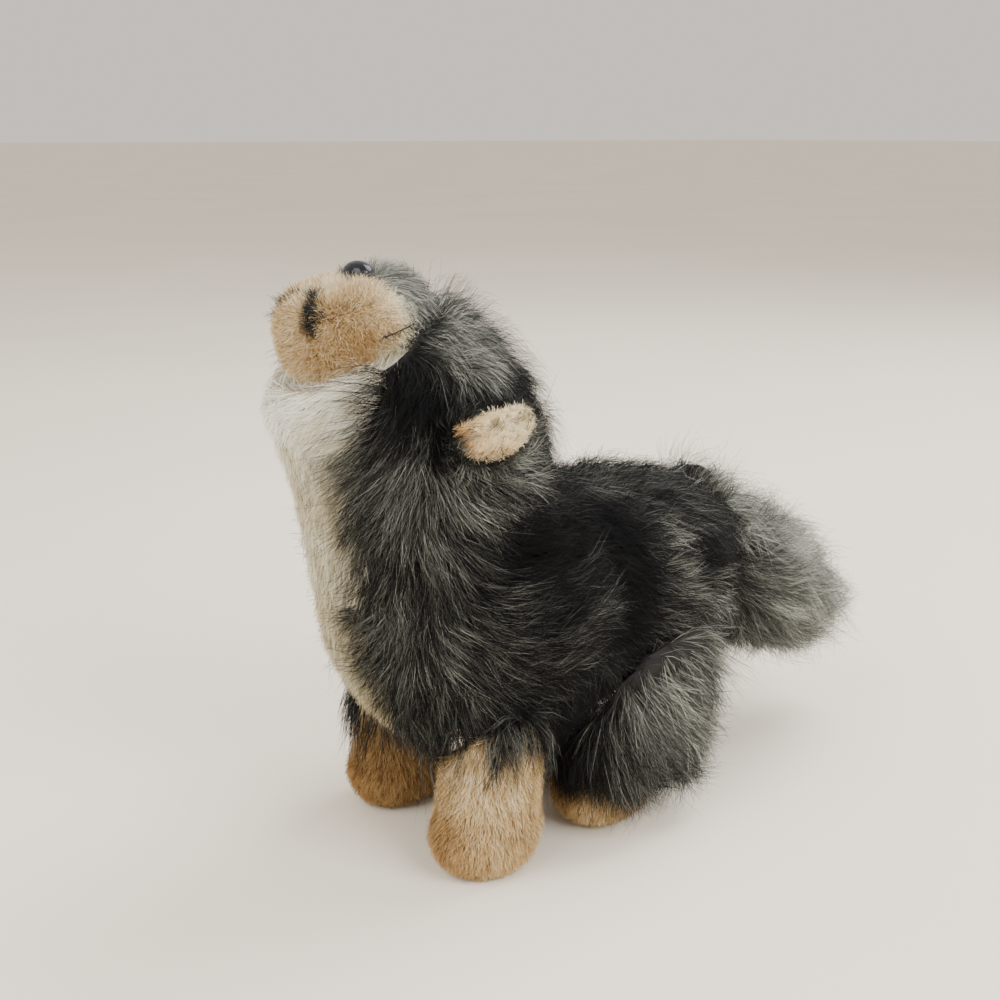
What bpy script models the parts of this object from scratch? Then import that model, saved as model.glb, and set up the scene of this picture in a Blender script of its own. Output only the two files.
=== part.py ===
# Plush wolf, howling, on four short legs: a soft toy about 175 mm tall.
# Metres, +Z up. The wolf faces -Y and its own left side is +X.
# Every soft form is lofted through stations. The outside of a form is the
# surface of its brushed pile, and the filling lies one pile depth below it.
import bmesh
import bpy
import math

import numpy as np
from mathutils import Matrix, Vector

# Driving dimensions of the body
BODY_WIDTH = 0.084
HIP_WIDTH = 0.074
BACK_Z = 0.105
BELLY_Z = 0.0275
CHEST_Y = -0.0585
RUMP_Y = 0.078
NAPE_Y = 0.0065
NAPE_Z = 0.1175
NECK_WIDTH = 0.071

# Driving dimensions of the head
HEAD_WIDTH = 0.062
CROWN_Y = -0.005
CROWN_Z = 0.1495
BROW_Y = -0.026
BROW_Z = 0.1635
THROAT_Y = -0.0705
THROAT_Z = 0.141
FACE_WIDTH = 0.048
MUZZLE_WIDTH = 0.040
MUZZLE_TOP_Z = 0.1715
NOSE_WIDTH = 0.0105
NOSE_HEIGHT = 0.0075
NOSE_DEPTH = 0.0065
EYELID_LENGTH = 0.0095
EAR_LENGTH = 0.0215
EAR_WIDTH = 0.0135

# Driving dimensions of the limbs and the tail
FRONT_SPREAD = 0.050
HIND_SPREAD = 0.043
FRONT_PAW_Y = -0.0225
HIND_PAW_Y = 0.024
PAW_WIDTH = 0.030
PAW_LENGTH = 0.037
LEG_WIDTH = 0.030
HAUNCH_WIDTH = 0.030
HAUNCH_HEM_Z = 0.016
TAIL_THICKNESS = 0.041
TAIL_TIP_Y = 0.141
TAIL_TIP_Z = 0.0385

# Cloth, pile and clearances
COAT_DEPTH = 0.009
RUFF_DEPTH = 0.0045
SHORT_PILE = 0.003
TAIL_PILE = 0.010
SEAM_GAP = 0.0003
SEAT_GAP = 0.0007
FILLING_GAP = 0.0009
LOCK_HEIGHT = 0.0016
TUFT_HEIGHT = 0.0025
THREAD_RADIUS = 0.0005
POST_RADIUS = 0.0015
POST_LENGTH = 0.010
WASHER_RADIUS = 0.004
WASHER_THICKNESS = 0.001
EAR_CLOTH = 0.0022
LINING_SINK = 0.0012
MUZZLE_ROOT = 0.008
EAR_CUP = 0.0022
EAR_MARGIN = 0.0018
LEG_LEAN = 0.006
TAIL_SAG = 0.003
ANKLE_Z = 0.021
PAW_SIDE_Z = 0.012
SOLE_EDGE_Z = 0.004
SOLE_MARGIN = 0.008

# How finely the forms are divided
TRUNK_COLUMNS = 16
ROOM_COLUMNS = 32
ROWS_PER_STATION = 2
COAT_COLUMNS = 9
BELLY_COLUMNS = 5
BIB_COLUMNS = 6
BODY_CORE_ROWS = 9
HEAD_CORE_ROWS = 5
MUZZLE_ROWS = 10
MUZZLE_COLUMNS = 16
CHEEK_COLUMNS = 6
BRIDGE_COLUMNS = 4
LINING_ROWS = 5
LINING_COLUMNS = 2
LEG_ROWS = 7
LEG_COLUMNS = 12
HAUNCH_ROWS = 7
TAIL_ROWS = 8
TAIL_COLUMNS = 20
EAR_ROWS = 7
EAR_COLUMNS = 4
EYELID_PIECES = 6
TURNED_PIECES = 16
NOSE_PROBES = 24
NORMAL_STEP = 0.01

# Where seams run, as angles around a form from its upper side, in degrees
BRIDGE_HALF_ANGLE = 30
MOUTH_ANGLE = 141
LIP_OPENING = 8

# Places along the forms, counted in stations
NECK_STATION = 9.0
BIB_STATION = 6.0
MOUTH_CORNER_STATION = 2.2
LIP_SPREAD_STATIONS = 1.5
LINING_START_STATION = 2.6
LINING_END_STATION = 5.5
NOSE_STATION = 3.7
EYELID_STATION = 0.6
EYELID_ANGLE = 80
EYELID_SLANT = 0.2
EAR_STATION = 10.5
EAR_ANGLE = 84

COLOURS = {
    "coat": (0.085, 0.080, 0.078),
    "tail_coat": (0.150, 0.142, 0.128),
    "cream": (0.74, 0.70, 0.60),
    "tan": (0.56, 0.39, 0.22),
    "ear_lining": (0.74, 0.60, 0.43),
    "filling": (0.90, 0.90, 0.88),
    "plastic": (0.012, 0.012, 0.015),
    "thread": (0.035, 0.025, 0.020),
    "washer": (0.70, 0.70, 0.68),
}

for leftover in list(bpy.data.objects):
    bpy.data.objects.remove(leftover, do_unlink=True)

collection = bpy.data.collections.new("plush_wolf")
bpy.context.scene.collection.children.link(collection)
cutters = bpy.data.collections.new("cutters")
bpy.context.scene.collection.children.link(cutters)
root = bpy.data.objects.new("wolf_root", None)
collection.objects.link(root)


def material(name, roughness=0.9):
    # One plain surface for each kind of cloth, thread or plastic
    found = bpy.data.materials.get(name)
    if found:
        return found
    made = bpy.data.materials.new(name)
    made.use_nodes = True
    shader = made.node_tree.nodes["Principled BSDF"]
    shader.inputs["Base Color"].default_value = (*COLOURS[name], 1)
    shader.inputs["Roughness"].default_value = roughness
    shader.inputs["Metallic"].default_value = 0
    return made


def smooth_between(stations, s):
    # Catmull-Rom through the rows of stations, with s counted in stations
    rows = len(stations)
    i = min(max(int(math.floor(s)), 0), rows - 2)
    t = s - i
    before = stations[max(i - 1, 0)]
    start = stations[i]
    end = stations[i + 1]
    after = stations[min(i + 2, rows - 1)]
    return 0.5 * (
        2 * start
        + (end - before) * t
        + (2 * before - 5 * start + 4 * end - after) * t ** 2
        + (3 * start - before - 3 * end + after) * t ** 3
    )


class Form:
    # A soft form. A station holds its upper point (y, z), its lower point (y, z)
    # and its half width, and squareness 2 makes the section an ellipse.

    def __init__(self, stations, squareness=2.0, centre_x=0.0, relief=None):
        self.stations = np.array(stations, dtype=float)
        self.last = len(stations) - 1
        self.squareness = squareness
        self.centre_x = centre_x
        self.relief = relief

    def smooth_point(self, s, angle):
        upper_y, upper_z, lower_y, lower_z, half_width = smooth_between(self.stations, s)
        power = 2.0 / (self.squareness(s) if callable(self.squareness) else self.squareness)
        along = math.copysign(abs(math.cos(angle)) ** power, math.cos(angle))
        across = math.copysign(abs(math.sin(angle)) ** power, math.sin(angle))
        middle_y = (upper_y + lower_y) / 2
        middle_z = (upper_z + lower_z) / 2
        return Vector((
            self.centre_x + across * half_width,
            middle_y + along * (upper_y - lower_y) / 2,
            middle_z + along * (upper_z - lower_z) / 2,
        ))

    def tangents(self, s, angle):
        before = max(s - NORMAL_STEP, 0)
        after = min(s + NORMAL_STEP, self.last)
        along = self.smooth_point(after, angle) - self.smooth_point(before, angle)
        around = self.smooth_point(s, angle + NORMAL_STEP) - self.smooth_point(s, angle - NORMAL_STEP)
        return along.normalized(), around.normalized()

    def normal(self, s, angle):
        along, around = self.tangents(s, angle)
        return along.cross(around).normalized()

    def point(self, s, angle, depth=0.0):
        # A point one depth below the surface; only the outside shows the locks
        place = self.smooth_point(s, angle) - self.normal(s, angle) * depth
        if self.relief and depth <= 0:
            place += self.normal(s, angle) * self.relief(s, angle)
        return place


def steps(start, end, count):
    return [start + (end - start) * i / count for i in range(count + 1)]


def grid_points(form, s_values, angle_limits, columns, depth, seams):
    # Rows of points on a form, with each named edge drawn in by half a seam gap
    rows = []
    for row_number, s in enumerate(s_values):
        low, high = angle_limits(s)
        row = []
        for column in range(columns + 1):
            angle = low + (high - low) * column / columns
            along, around = form.tangents(s, angle)
            deep = depth(s) if callable(depth) else depth
            place = form.point(s, angle, deep)
            if "start" in seams and row_number == 0:
                place += along * SEAM_GAP / 2
            if "end" in seams and row_number == len(s_values) - 1:
                place -= along * SEAM_GAP / 2
            if "sides" in seams and column == 0:
                place += around * SEAM_GAP / 2
            if "sides" in seams and column == columns:
                place -= around * SEAM_GAP / 2
            row.append(place)
        rows.append(row)
    return rows


def add_rows(bm, rows, wrap):
    made = [[bm.verts.new(place) for place in row] for row in rows]
    for lower, upper in zip(made, made[1:]):
        join_rings(bm, lower, upper, wrap)
    return made


def join_rings(bm, lower, upper, wrap):
    count = len(lower)
    for column in range(count if wrap else count - 1):
        after = (column + 1) % count
        bm.faces.new((lower[column], lower[after], upper[after], upper[column]))


def close_ring(bm, ring):
    # A fan of triangles, so that two fillings that meet end in like faces
    middle = bm.verts.new(sum((vert.co for vert in ring), Vector()) / len(ring))
    for vert, after in zip(ring, ring[1:] + ring[:1]):
        bm.faces.new((vert, after, middle))


def finish(name, bm, material_name, roughness=0.9):
    bmesh.ops.recalc_face_normals(bm, faces=bm.faces)
    mesh = bpy.data.meshes.new(name)
    bm.to_mesh(mesh)
    bm.free()
    return place_mesh(name, mesh, material_name, roughness)


def place_mesh(name, mesh, material_name, roughness=0.9, matrix=None):
    mesh.shade_smooth()
    mesh.set_sharp_from_angle(angle=math.radians(50))
    mesh.materials.append(material(material_name, roughness))
    made = bpy.data.objects.new(name, mesh)
    collection.objects.link(made)
    made.parent = root
    if matrix:
        made.matrix_local = matrix
    return made


def close_sides(bm, face, back):
    # The four edges between the face of a panel and its back
    for face_edge, back_edge in (
        (face[0], back[0]),
        (face[-1], back[-1]),
        ([row[0] for row in face], [row[0] for row in back]),
        ([row[-1] for row in face], [row[-1] for row in back]),
    ):
        join_rings(bm, face_edge, back_edge, False)


def panel(name, form, s_values, angle_limits, columns, depth, material_name, seams, face_depth=0.0):
    # One sewn panel: its face, its back one pile depth below, and its edges
    bm = bmesh.new()
    face = add_rows(bm, grid_points(form, s_values, angle_limits, columns, face_depth, seams), False)
    back = add_rows(bm, grid_points(form, s_values, angle_limits, columns, depth, seams), False)
    close_sides(bm, face, back)
    return finish(name, bm, material_name)


def whole_turn(s):
    return 0.0, math.tau


def sock(name, form, s_values, columns, depth, material_name):
    # A sewn tube that is shut at its last station and open at its first
    bm = bmesh.new()
    face_rows = grid_points(form, s_values, whole_turn, columns, 0.0, ())
    back_rows = grid_points(form, s_values, whole_turn, columns, depth, ())
    face = add_rows(bm, [row[:-1] for row in face_rows], True)
    back = add_rows(bm, [row[:-1] for row in back_rows], True)
    join_rings(bm, face[0], back[0], True)
    bm.faces.new(face[-1])
    bm.faces.new(back[-1])
    return finish(name, bm, material_name)


def filling(name, form, s_values, columns, depth, seams=(), material_name="filling"):
    # A closed body of stuffing, one depth below the surface of its form
    bm = bmesh.new()
    rows = grid_points(form, s_values, whole_turn, columns, depth, seams)
    rings = add_rows(bm, [row[:-1] for row in rows], True)
    close_ring(bm, rings[0])
    close_ring(bm, rings[-1])
    return finish(name, bm, material_name)


def make_cutter(name, form, s_values, columns, growth):
    return hide(filling(name, form, s_values, columns, -growth))


def cut(made, cutter, operation="DIFFERENCE"):
    modifier = made.modifiers.new(cutter.name, "BOOLEAN")
    modifier.operation = operation
    modifier.object = cutter
    modifier.solver = "EXACT"


def coat_locks(s, angle):
    # Locks of the long coat: slanting waves that fade out under the belly
    wave = math.cos(5 * angle + 2.1 * s) * math.cos(2 * angle - 1.7 * s)
    return LOCK_HEIGHT * wave * (0.6 + 0.4 * math.cos(angle))


def trunk_squareness(s):
    # The body's sections are squarer than the skull's
    return float(np.interp(s, (0, 3, 8, 11), (2.2, 2.5, 2.4, 2.05)))


def trunk_form():
    # Rump, back, shoulders, neck and skull, up to the ring that the face leaves
    half = BODY_WIDTH / 2
    hip = HIP_WIDTH / 2
    neck = NECK_WIDTH / 2
    head = HEAD_WIDTH / 2
    stations = [
        (RUMP_Y + 0.001, BACK_Z - 0.033, RUMP_Y + 0.001, BELLY_Z + 0.036, 0.004),
        (RUMP_Y - 0.001, BACK_Z - 0.016, RUMP_Y - 0.004, BELLY_Z + 0.020, hip - 0.017),
        (RUMP_Y - 0.010, BACK_Z - 0.006, RUMP_Y - 0.013, BELLY_Z + 0.007, hip - 0.006),
        (RUMP_Y - 0.027, BACK_Z - 0.001, RUMP_Y - 0.031, BELLY_Z + 0.001, hip),
        (NAPE_Y + 0.023, BACK_Z + 0.001, NAPE_Y + 0.013, BELLY_Z, half - 0.002),
        (NAPE_Y + 0.010, BACK_Z + 0.004, CHEST_Y + 0.049, BELLY_Z + 0.001, half),
        (NAPE_Y + 0.003, NAPE_Z - 0.005, CHEST_Y + 0.023, BELLY_Z + 0.007, half),
        (NAPE_Y, NAPE_Z - 0.001, CHEST_Y + 0.007, BELLY_Z + 0.026, half - 0.002),
        (NAPE_Y - 0.001, NAPE_Z + 0.004, CHEST_Y, BELLY_Z + 0.050, half - 0.005),
        (NAPE_Y - 0.001, NAPE_Z + 0.009, CHEST_Y - 0.004, THROAT_Z - 0.039, neck),
        (NAPE_Y - 0.001, NAPE_Z + 0.015, THROAT_Y + 0.004, THROAT_Z - 0.021, neck - 0.001),
        (CROWN_Y + 0.008, CROWN_Z - 0.010, THROAT_Y, THROAT_Z - 0.010, head),
        (CROWN_Y, CROWN_Z, THROAT_Y - 0.001, THROAT_Z - 0.004, head - 0.001),
        (BROW_Y + 0.011, BROW_Z - 0.005, THROAT_Y - 0.0005, THROAT_Z - 0.001, head - 0.004),
        (BROW_Y, BROW_Z, THROAT_Y, THROAT_Z + 0.0015, FACE_WIDTH / 2),
    ]
    return Form(stations, squareness=trunk_squareness, relief=coat_locks)


def muzzle_form():
    # From the ring of the ruff to the front of the lips, where the mouth line meets.
    # Its upper line climbs from the brow to the top, its lower line from the throat.
    half = MUZZLE_WIDTH / 2
    rise = MUZZLE_TOP_Z - BROW_Z
    chin = MUZZLE_TOP_Z - THROAT_Z
    stations = [
        (BROW_Y - 0.0035, BROW_Z + 0.03 * rise, THROAT_Y + 0.0050, THROAT_Z + 0.15 * chin, half - 0.001),
        (BROW_Y - 0.0060, BROW_Z + 0.56 * rise, THROAT_Y + 0.0030, THROAT_Z + 0.30 * chin, half),
        (BROW_Y - 0.0100, BROW_Z + 0.88 * rise, THROAT_Y + 0.0020, THROAT_Z + 0.475 * chin, half - 0.0005),
        (BROW_Y - 0.0155, BROW_Z + 1.00 * rise, THROAT_Y + 0.0025, THROAT_Z + 0.655 * chin, half - 0.0025),
        (BROW_Y - 0.0220, BROW_Z + 0.98 * rise, THROAT_Y + 0.0050, THROAT_Z + 0.785 * chin, half - 0.0065),
        (BROW_Y - 0.0275, BROW_Z + 0.65 * rise, THROAT_Y + 0.0080, THROAT_Z + 0.845 * chin, half - 0.0120),
        (BROW_Y - 0.0307, BROW_Z + 0.35 * rise, THROAT_Y + 0.0104, THROAT_Z + 0.86 * chin, 0.0022),
    ]
    return Form(stations, squareness=2.2)


trunk = trunk_form()
muzzle = muzzle_form()


def coat_pile(s):
    # The pile thins from the coat's depth to the ruff's depth around the face
    fade = min(max((s - 10.0) / 4.0, 0.0), 1.0)
    return COAT_DEPTH + (RUFF_DEPTH - COAT_DEPTH) * fade


def filling_depth(s):
    return coat_pile(s) + FILLING_GAP


def light_panel_half_angle(s):
    # Half the width of the pale panel under the trunk, as an angle
    knots = (0, 1.5, 6, 8, 10, 12, 14)
    angles = (42, 42, 20, 21, 38, 62, 78)
    return math.radians(float(np.interp(s, knots, angles)))


def left_coat_limits(s):
    return 0.0, math.pi - light_panel_half_angle(s)


def right_coat_limits(s):
    return math.pi + light_panel_half_angle(s), math.tau


def light_panel_limits(s):
    half = light_panel_half_angle(s)
    return math.pi - half, math.pi + half


def trunk_rows(start, end):
    # Panels that share a seam have their rows at the same places along it
    return steps(start, end, round((end - start) * ROWS_PER_STATION))


def build_trunk():
    all_edges = ("start", "end", "sides")
    body_rows = trunk_rows(0, NECK_STATION)
    head_rows = trunk_rows(NECK_STATION, trunk.last)
    for side, limits in (("left", left_coat_limits), ("right", right_coat_limits)):
        panel(f"body_coat_{side}", trunk, body_rows, limits, COAT_COLUMNS, coat_pile, "coat", all_edges)
        panel(f"head_coat_{side}", trunk, head_rows, limits, COAT_COLUMNS, coat_pile, "coat", all_edges)
    belly_rows = trunk_rows(0, BIB_STATION)
    panel("belly_panel", trunk, belly_rows, light_panel_limits, BELLY_COLUMNS, coat_pile, "cream", all_edges)
    bib_rows = trunk_rows(BIB_STATION, trunk.last)
    panel("chest_bib", trunk, bib_rows, light_panel_limits, BIB_COLUMNS, coat_pile, "cream", all_edges)
    body_core_rows = steps(0, NECK_STATION, BODY_CORE_ROWS)
    head_core_rows = steps(NECK_STATION, trunk.last, HEAD_CORE_ROWS)
    filling("body_stuffing", trunk, body_core_rows, TRUNK_COLUMNS, filling_depth, ("start", "end"))
    filling("head_stuffing", trunk, head_core_rows, TRUNK_COLUMNS, filling_depth, ("start", "end"))


def lip_opening(s):
    # The lips part from the corner of the mouth towards the front of the muzzle
    share = min(max((s - MOUTH_CORNER_STATION) / LIP_SPREAD_STATIONS, 0.0), 1.0)
    return math.radians(LIP_OPENING) * share


def upper_lip(s):
    return math.radians(MOUTH_ANGLE) - lip_opening(s)


def lower_lip(s):
    return math.radians(MOUTH_ANGLE) + lip_opening(s)


def build_muzzle():
    bridge = math.radians(BRIDGE_HALF_ANGLE)
    rows = steps(0, muzzle.last, MUZZLE_ROWS)
    edges = ("start", "sides")
    for name, limits, columns, material_name in (
        ("muzzle_left", lambda s: (bridge, upper_lip(s)), CHEEK_COLUMNS, "tan"),
        ("muzzle_right", lambda s: (math.tau - upper_lip(s), math.tau - bridge), CHEEK_COLUMNS, "tan"),
        ("bridge_strip", lambda s: (-bridge, bridge), BRIDGE_COLUMNS, "coat"),
        ("lower_jaw", lambda s: (lower_lip(s), math.tau - lower_lip(s)), CHEEK_COLUMNS, "tan"),
    ):
        panel(name, muzzle, rows, limits, columns, SHORT_PILE, material_name, edges)
    # Black cloth sunk between the lips
    lining_rows = steps(LINING_START_STATION, LINING_END_STATION, LINING_ROWS)
    for side, limits in (
        ("left", lambda s: (upper_lip(s), lower_lip(s))),
        ("right", lambda s: (math.tau - lower_lip(s), math.tau - upper_lip(s))),
    ):
        panel(f"mouth_lining_{side}", muzzle, lining_rows, limits, LINING_COLUMNS, SHORT_PILE, "thread",
              ("sides",), LINING_SINK)


def stuff_muzzle():
    # The head's filling runs on through the face ring into the muzzle
    rows = grid_points(muzzle, steps(0, muzzle.last, MUZZLE_ROWS), whole_turn, MUZZLE_COLUMNS,
                       SHORT_PILE + FILLING_GAP, ())
    rows = [row[:-1] for row in rows]
    way = (sum(rows[1], Vector()) - sum(rows[0], Vector())).normalized()
    rows.insert(0, [place - way * MUZZLE_ROOT for place in rows[0]])
    bm = bmesh.new()
    rings = add_rows(bm, rows, True)
    close_ring(bm, rings[0])
    close_ring(bm, rings[-1])
    core = hide(finish("muzzle_core", bm, "filling"))
    cut(bpy.data.objects["head_stuffing"], core, "UNION")


def surface_frame(form, s, angle, lift=0.0):
    # Axes on a form: X around it, Y along it and Z out of it
    along, around = form.tangents(s, angle)
    out = along.cross(around).normalized()
    frame = Matrix((around, out.cross(around), out)).transposed().to_4x4()
    frame.translation = form.smooth_point(s, angle) + out * lift
    return frame


def blank(name, bm, frame):
    # A shape that only cuts or joins another one
    made = finish(name, bm, "washer")
    made.matrix_local = frame
    return hide(made)


def hide(made):
    collection.objects.unlink(made)
    cutters.objects.link(made)
    made.hide_render = True
    made.display_type = "WIRE"
    return made


def bead_mesh(growth):
    bm = bmesh.new()
    bmesh.ops.create_uvsphere(bm, u_segments=14, v_segments=8, radius=0.5)
    size = (NOSE_WIDTH + 2 * growth, NOSE_HEIGHT + 2 * growth, NOSE_DEPTH + 2 * growth)
    bmesh.ops.scale(bm, vec=size, verts=bm.verts)
    return bm


def rod_mesh(radius, height, sides=12):
    bm = bmesh.new()
    bmesh.ops.create_cone(bm, cap_ends=True, segments=sides, radius1=radius, radius2=radius, depth=height)
    return bm


def cloth_back_below(frame, radius):
    # How low the back of the muzzle's cloth lies within a radius of the post
    into_frame = frame.inverted()
    lowest = 0.0
    for s in steps(NOSE_STATION - 1, NOSE_STATION + 1, NOSE_PROBES):
        for angle in steps(-1, 1, NOSE_PROBES):
            place = into_frame @ muzzle.point(s, angle, SHORT_PILE)
            if math.hypot(place.x, place.y) <= radius:
                lowest = min(lowest, place.z)
    return lowest


def build_nose():
    # A moulded bead whose post goes through the cloth into a washer behind it
    frame = surface_frame(muzzle, NOSE_STATION, 0.0)
    post_frame = frame @ Matrix.Translation((0, 0, -POST_LENGTH / 2))
    nose = finish("nose", bead_mesh(0.0), "plastic", 0.12)
    nose.matrix_local = frame
    cut(nose, blank("nose_post", rod_mesh(POST_RADIUS, POST_LENGTH), post_frame), "UNION")

    washer_top = cloth_back_below(frame, WASHER_RADIUS + SEAM_GAP) - SEAM_GAP
    washer = turned_ring("nose_washer", POST_RADIUS + SEAM_GAP, WASHER_RADIUS, WASHER_THICKNESS)
    washer.matrix_local = frame @ Matrix.Translation((0, 0, washer_top - WASHER_THICKNESS / 2))

    seat = blank("bead_seat", bead_mesh(SEAM_GAP), frame)
    hole_length = POST_LENGTH + 2 * SEAM_GAP
    hole = blank("post_hole", rod_mesh(POST_RADIUS + SEAM_GAP, hole_length), post_frame)
    pocket_depth = WASHER_THICKNESS + SEAM_GAP - washer_top
    pocket_frame = frame @ Matrix.Translation((0, 0, -pocket_depth / 2))
    pocket = blank("washer_pocket", rod_mesh(WASHER_RADIUS + SEAM_GAP, pocket_depth), pocket_frame)
    for tool in (seat, hole):
        cut(bpy.data.objects["bridge_strip"], tool)
    for tool in (hole, pocket):
        cut(bpy.data.objects["head_stuffing"], tool)


def turned_ring(name, inner, outer, height):
    # A flat ring: a closed rectangle turned about Z
    mesh = bpy.data.meshes.new(name)
    top = height / 2
    corners = [(outer, 0, top), (outer, 0, -top), (inner, 0, -top), (inner, 0, top)]
    mesh.from_pydata(corners, [(0, 1), (1, 2), (2, 3), (3, 0)], [])
    mesh.materials.append(material("washer", 0.4))
    made = bpy.data.objects.new(name, mesh)
    collection.objects.link(made)
    made.parent = root
    screw = made.modifiers.new("turned", "SCREW")
    screw.axis = "Z"
    screw.steps = TURNED_PIECES
    screw.render_steps = TURNED_PIECES
    screw.use_merge_vertices = True
    screw.merge_threshold = 0.00001
    return made


def build_eyelids():
    # The eyes are shut: a line of thick thread across the back of each cheek
    centre = math.radians(EYELID_ANGLE)
    around = (muzzle.smooth_point(EYELID_STATION, centre + NORMAL_STEP)
              - muzzle.smooth_point(EYELID_STATION, centre - NORMAL_STEP)).length / (2 * NORMAL_STEP)
    half_turn = EYELID_LENGTH / 2 / around
    lift = THREAD_RADIUS + SEAM_GAP
    for side, sign in (("left", 1), ("right", -1)):
        curve = bpy.data.curves.new(f"eyelid_{side}", "CURVE")
        curve.dimensions = "3D"
        curve.bevel_depth = THREAD_RADIUS
        curve.bevel_resolution = 1
        curve.use_fill_caps = True
        spline = curve.splines.new("POLY")
        angles = steps(centre - half_turn, centre + half_turn, EYELID_PIECES)
        spline.points.add(len(angles) - 1)
        for point, angle in zip(spline.points, angles):
            station = EYELID_STATION + EYELID_SLANT * (angle - centre) / half_turn
            frame = surface_frame(muzzle, station, sign * angle, lift)
            point.co = (*frame.translation, 1)
        curve.materials.append(material("thread"))
        made = bpy.data.objects.new(f"eyelid_{side}", curve)
        collection.objects.link(made)
        made.parent = root


def ear_point(sign, along, across, lift):
    # A place over the skull: along runs from the ear's root to its tip
    start = math.radians(EAR_ANGLE)
    turn_length = 2 * NORMAL_STEP
    around = (trunk.smooth_point(EAR_STATION, start + NORMAL_STEP)
              - trunk.smooth_point(EAR_STATION, start - NORMAL_STEP)).length / turn_length
    forward = (trunk.smooth_point(EAR_STATION + NORMAL_STEP, start)
               - trunk.smooth_point(EAR_STATION - NORMAL_STEP, start)).length / turn_length
    angle = sign * (start - (along - 0.5) * EAR_LENGTH / around)
    s = EAR_STATION + across * EAR_WIDTH / forward
    return trunk.point(s, angle) + trunk.normal(s, angle) * lift


def ear_half_width(along, margin):
    # A rounded lobe: wide near its middle, narrower at its root and its tip
    outline = math.sin(math.pi * (0.14 + 0.80 * along)) ** 0.7
    return outline / 2 - margin / EAR_WIDTH


def ear_layer(name, sign, low_lift, margin, material_name):
    # One cloth of the ear, laid over the skull with its sides curling outwards
    end_margin = margin / EAR_LENGTH
    bm = bmesh.new()
    layers = []
    for lift in (low_lift, low_lift + EAR_CLOTH):
        rows = []
        for along in steps(end_margin, 1 - end_margin, EAR_ROWS):
            half = ear_half_width(along, margin)
            row = []
            for across in steps(-1, 1, EAR_COLUMNS):
                cup = EAR_CUP * (across ** 2 + 0.6 * along ** 2)
                row.append(ear_point(sign, along, across * half, lift + cup))
            rows.append(row)
        layers.append(add_rows(bm, rows, False))
    close_sides(bm, *layers)
    finish(name, bm, material_name)


def build_ears():
    back_lift = SEAM_GAP * 2
    lining_lift = back_lift + EAR_CLOTH + SEAM_GAP
    for side, sign in (("left", 1), ("right", -1)):
        ear_layer(f"ear_back_{side}", sign, back_lift, 0.0, "coat")
        ear_layer(f"ear_lining_{side}", sign, lining_lift, EAR_MARGIN, "ear_lining")


def leg_form(side_sign, spread, paw_y, top_z, lean):
    # Level sections from the seam at the top down to the flat sole
    half = PAW_WIDTH / 2
    reach = PAW_LENGTH / 2
    slim = LEG_WIDTH / 2
    middle_z = (top_z + ANKLE_Z) / 2
    stations = [
        (paw_y - slim + lean, top_z, paw_y + slim + lean, top_z, slim),
        (paw_y - slim - 0.001 + lean / 2, middle_z, paw_y + slim + lean / 2, middle_z, slim),
        (paw_y - reach + 0.003, ANKLE_Z, paw_y + reach - 0.002, ANKLE_Z, half - 0.0005),
        (paw_y - reach, PAW_SIDE_Z, paw_y + reach - 0.001, PAW_SIDE_Z, half),
        (paw_y - reach + 0.0025, SOLE_EDGE_Z, paw_y + reach - 0.003, SOLE_EDGE_Z, half - 0.002),
        (paw_y - reach + SOLE_MARGIN, 0.0, paw_y + reach - SOLE_MARGIN, 0.0, half - 0.006),
    ]
    return Form(stations, squareness=2.1, centre_x=side_sign * spread / 2)


def haunch_locks(s, angle):
    # The thigh's long hair parts into locks that spread towards the hem
    return TUFT_HEIGHT * (s / 5.0) ** 2 * math.cos(5 * angle + 0.6)


def haunch_form(side_sign):
    # The thigh's long hair, from the hip down to a hem that drops to the rear
    half = HAUNCH_WIDTH / 2
    hem = HAUNCH_HEM_Z
    front = HIND_PAW_Y - 0.020
    rear = HIND_PAW_Y + 0.032
    stations = [
        (front + 0.022, BACK_Z - 0.028, rear - 0.012, BACK_Z - 0.028, half - 0.010),
        (front + 0.010, BACK_Z - 0.040, rear - 0.004, BACK_Z - 0.038, half - 0.005),
        (front + 0.003, BACK_Z - 0.054, rear + 0.001, BACK_Z - 0.052, half - 0.001),
        (front, hem + 0.020, rear - 0.001, hem + 0.021, half),
        (front - 0.001, hem + 0.012, rear - 0.005, hem + 0.010, half),
        (front + 0.003, hem + 0.005, rear - 0.011, hem, half - 0.002),
    ]
    return Form(stations, squareness=2.2, centre_x=side_sign * (BODY_WIDTH / 2 - half + 0.002),
                relief=haunch_locks)


def tail_locks(s, angle):
    # Locks that part more and more towards the tip, which is station 0
    openness = max(1 - s / 5.0, 0.0)
    return TUFT_HEIGHT * openness * math.cos(5 * angle)


def tail_form():
    # Stations run from the tip to the root; the tail hangs back and down
    radius = TAIL_THICKNESS / 2
    tip = Vector((TAIL_TIP_Y, TAIL_TIP_Z))
    hip = Vector((RUMP_Y - 0.012, BACK_Z - 0.020))
    way = tip - hip
    up = Vector((-way.y, way.x)).normalized()
    stations = []
    for share, half in (
        (1.00, 0.003), (0.93, radius - 0.0095), (0.79, radius - 0.003), (0.60, radius),
        (0.38, radius), (0.18, radius - 0.002), (-0.04, radius - 0.005),
    ):
        middle = hip + way * share - up * TAIL_SAG * math.sin(math.pi * max(share, 0.0))
        upper = middle + up * half
        lower = middle - up * half
        stations.append((*upper, *lower, half))
    return Form(stations, squareness=2.0, relief=tail_locks)


def tail_depth(s):
    return float(np.interp(s, (0, 1, 2.5, 6), (0.002, 0.0045, TAIL_PILE, TAIL_PILE)))


def tail_core_depth(s):
    return tail_depth(s) + FILLING_GAP / 2


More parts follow.
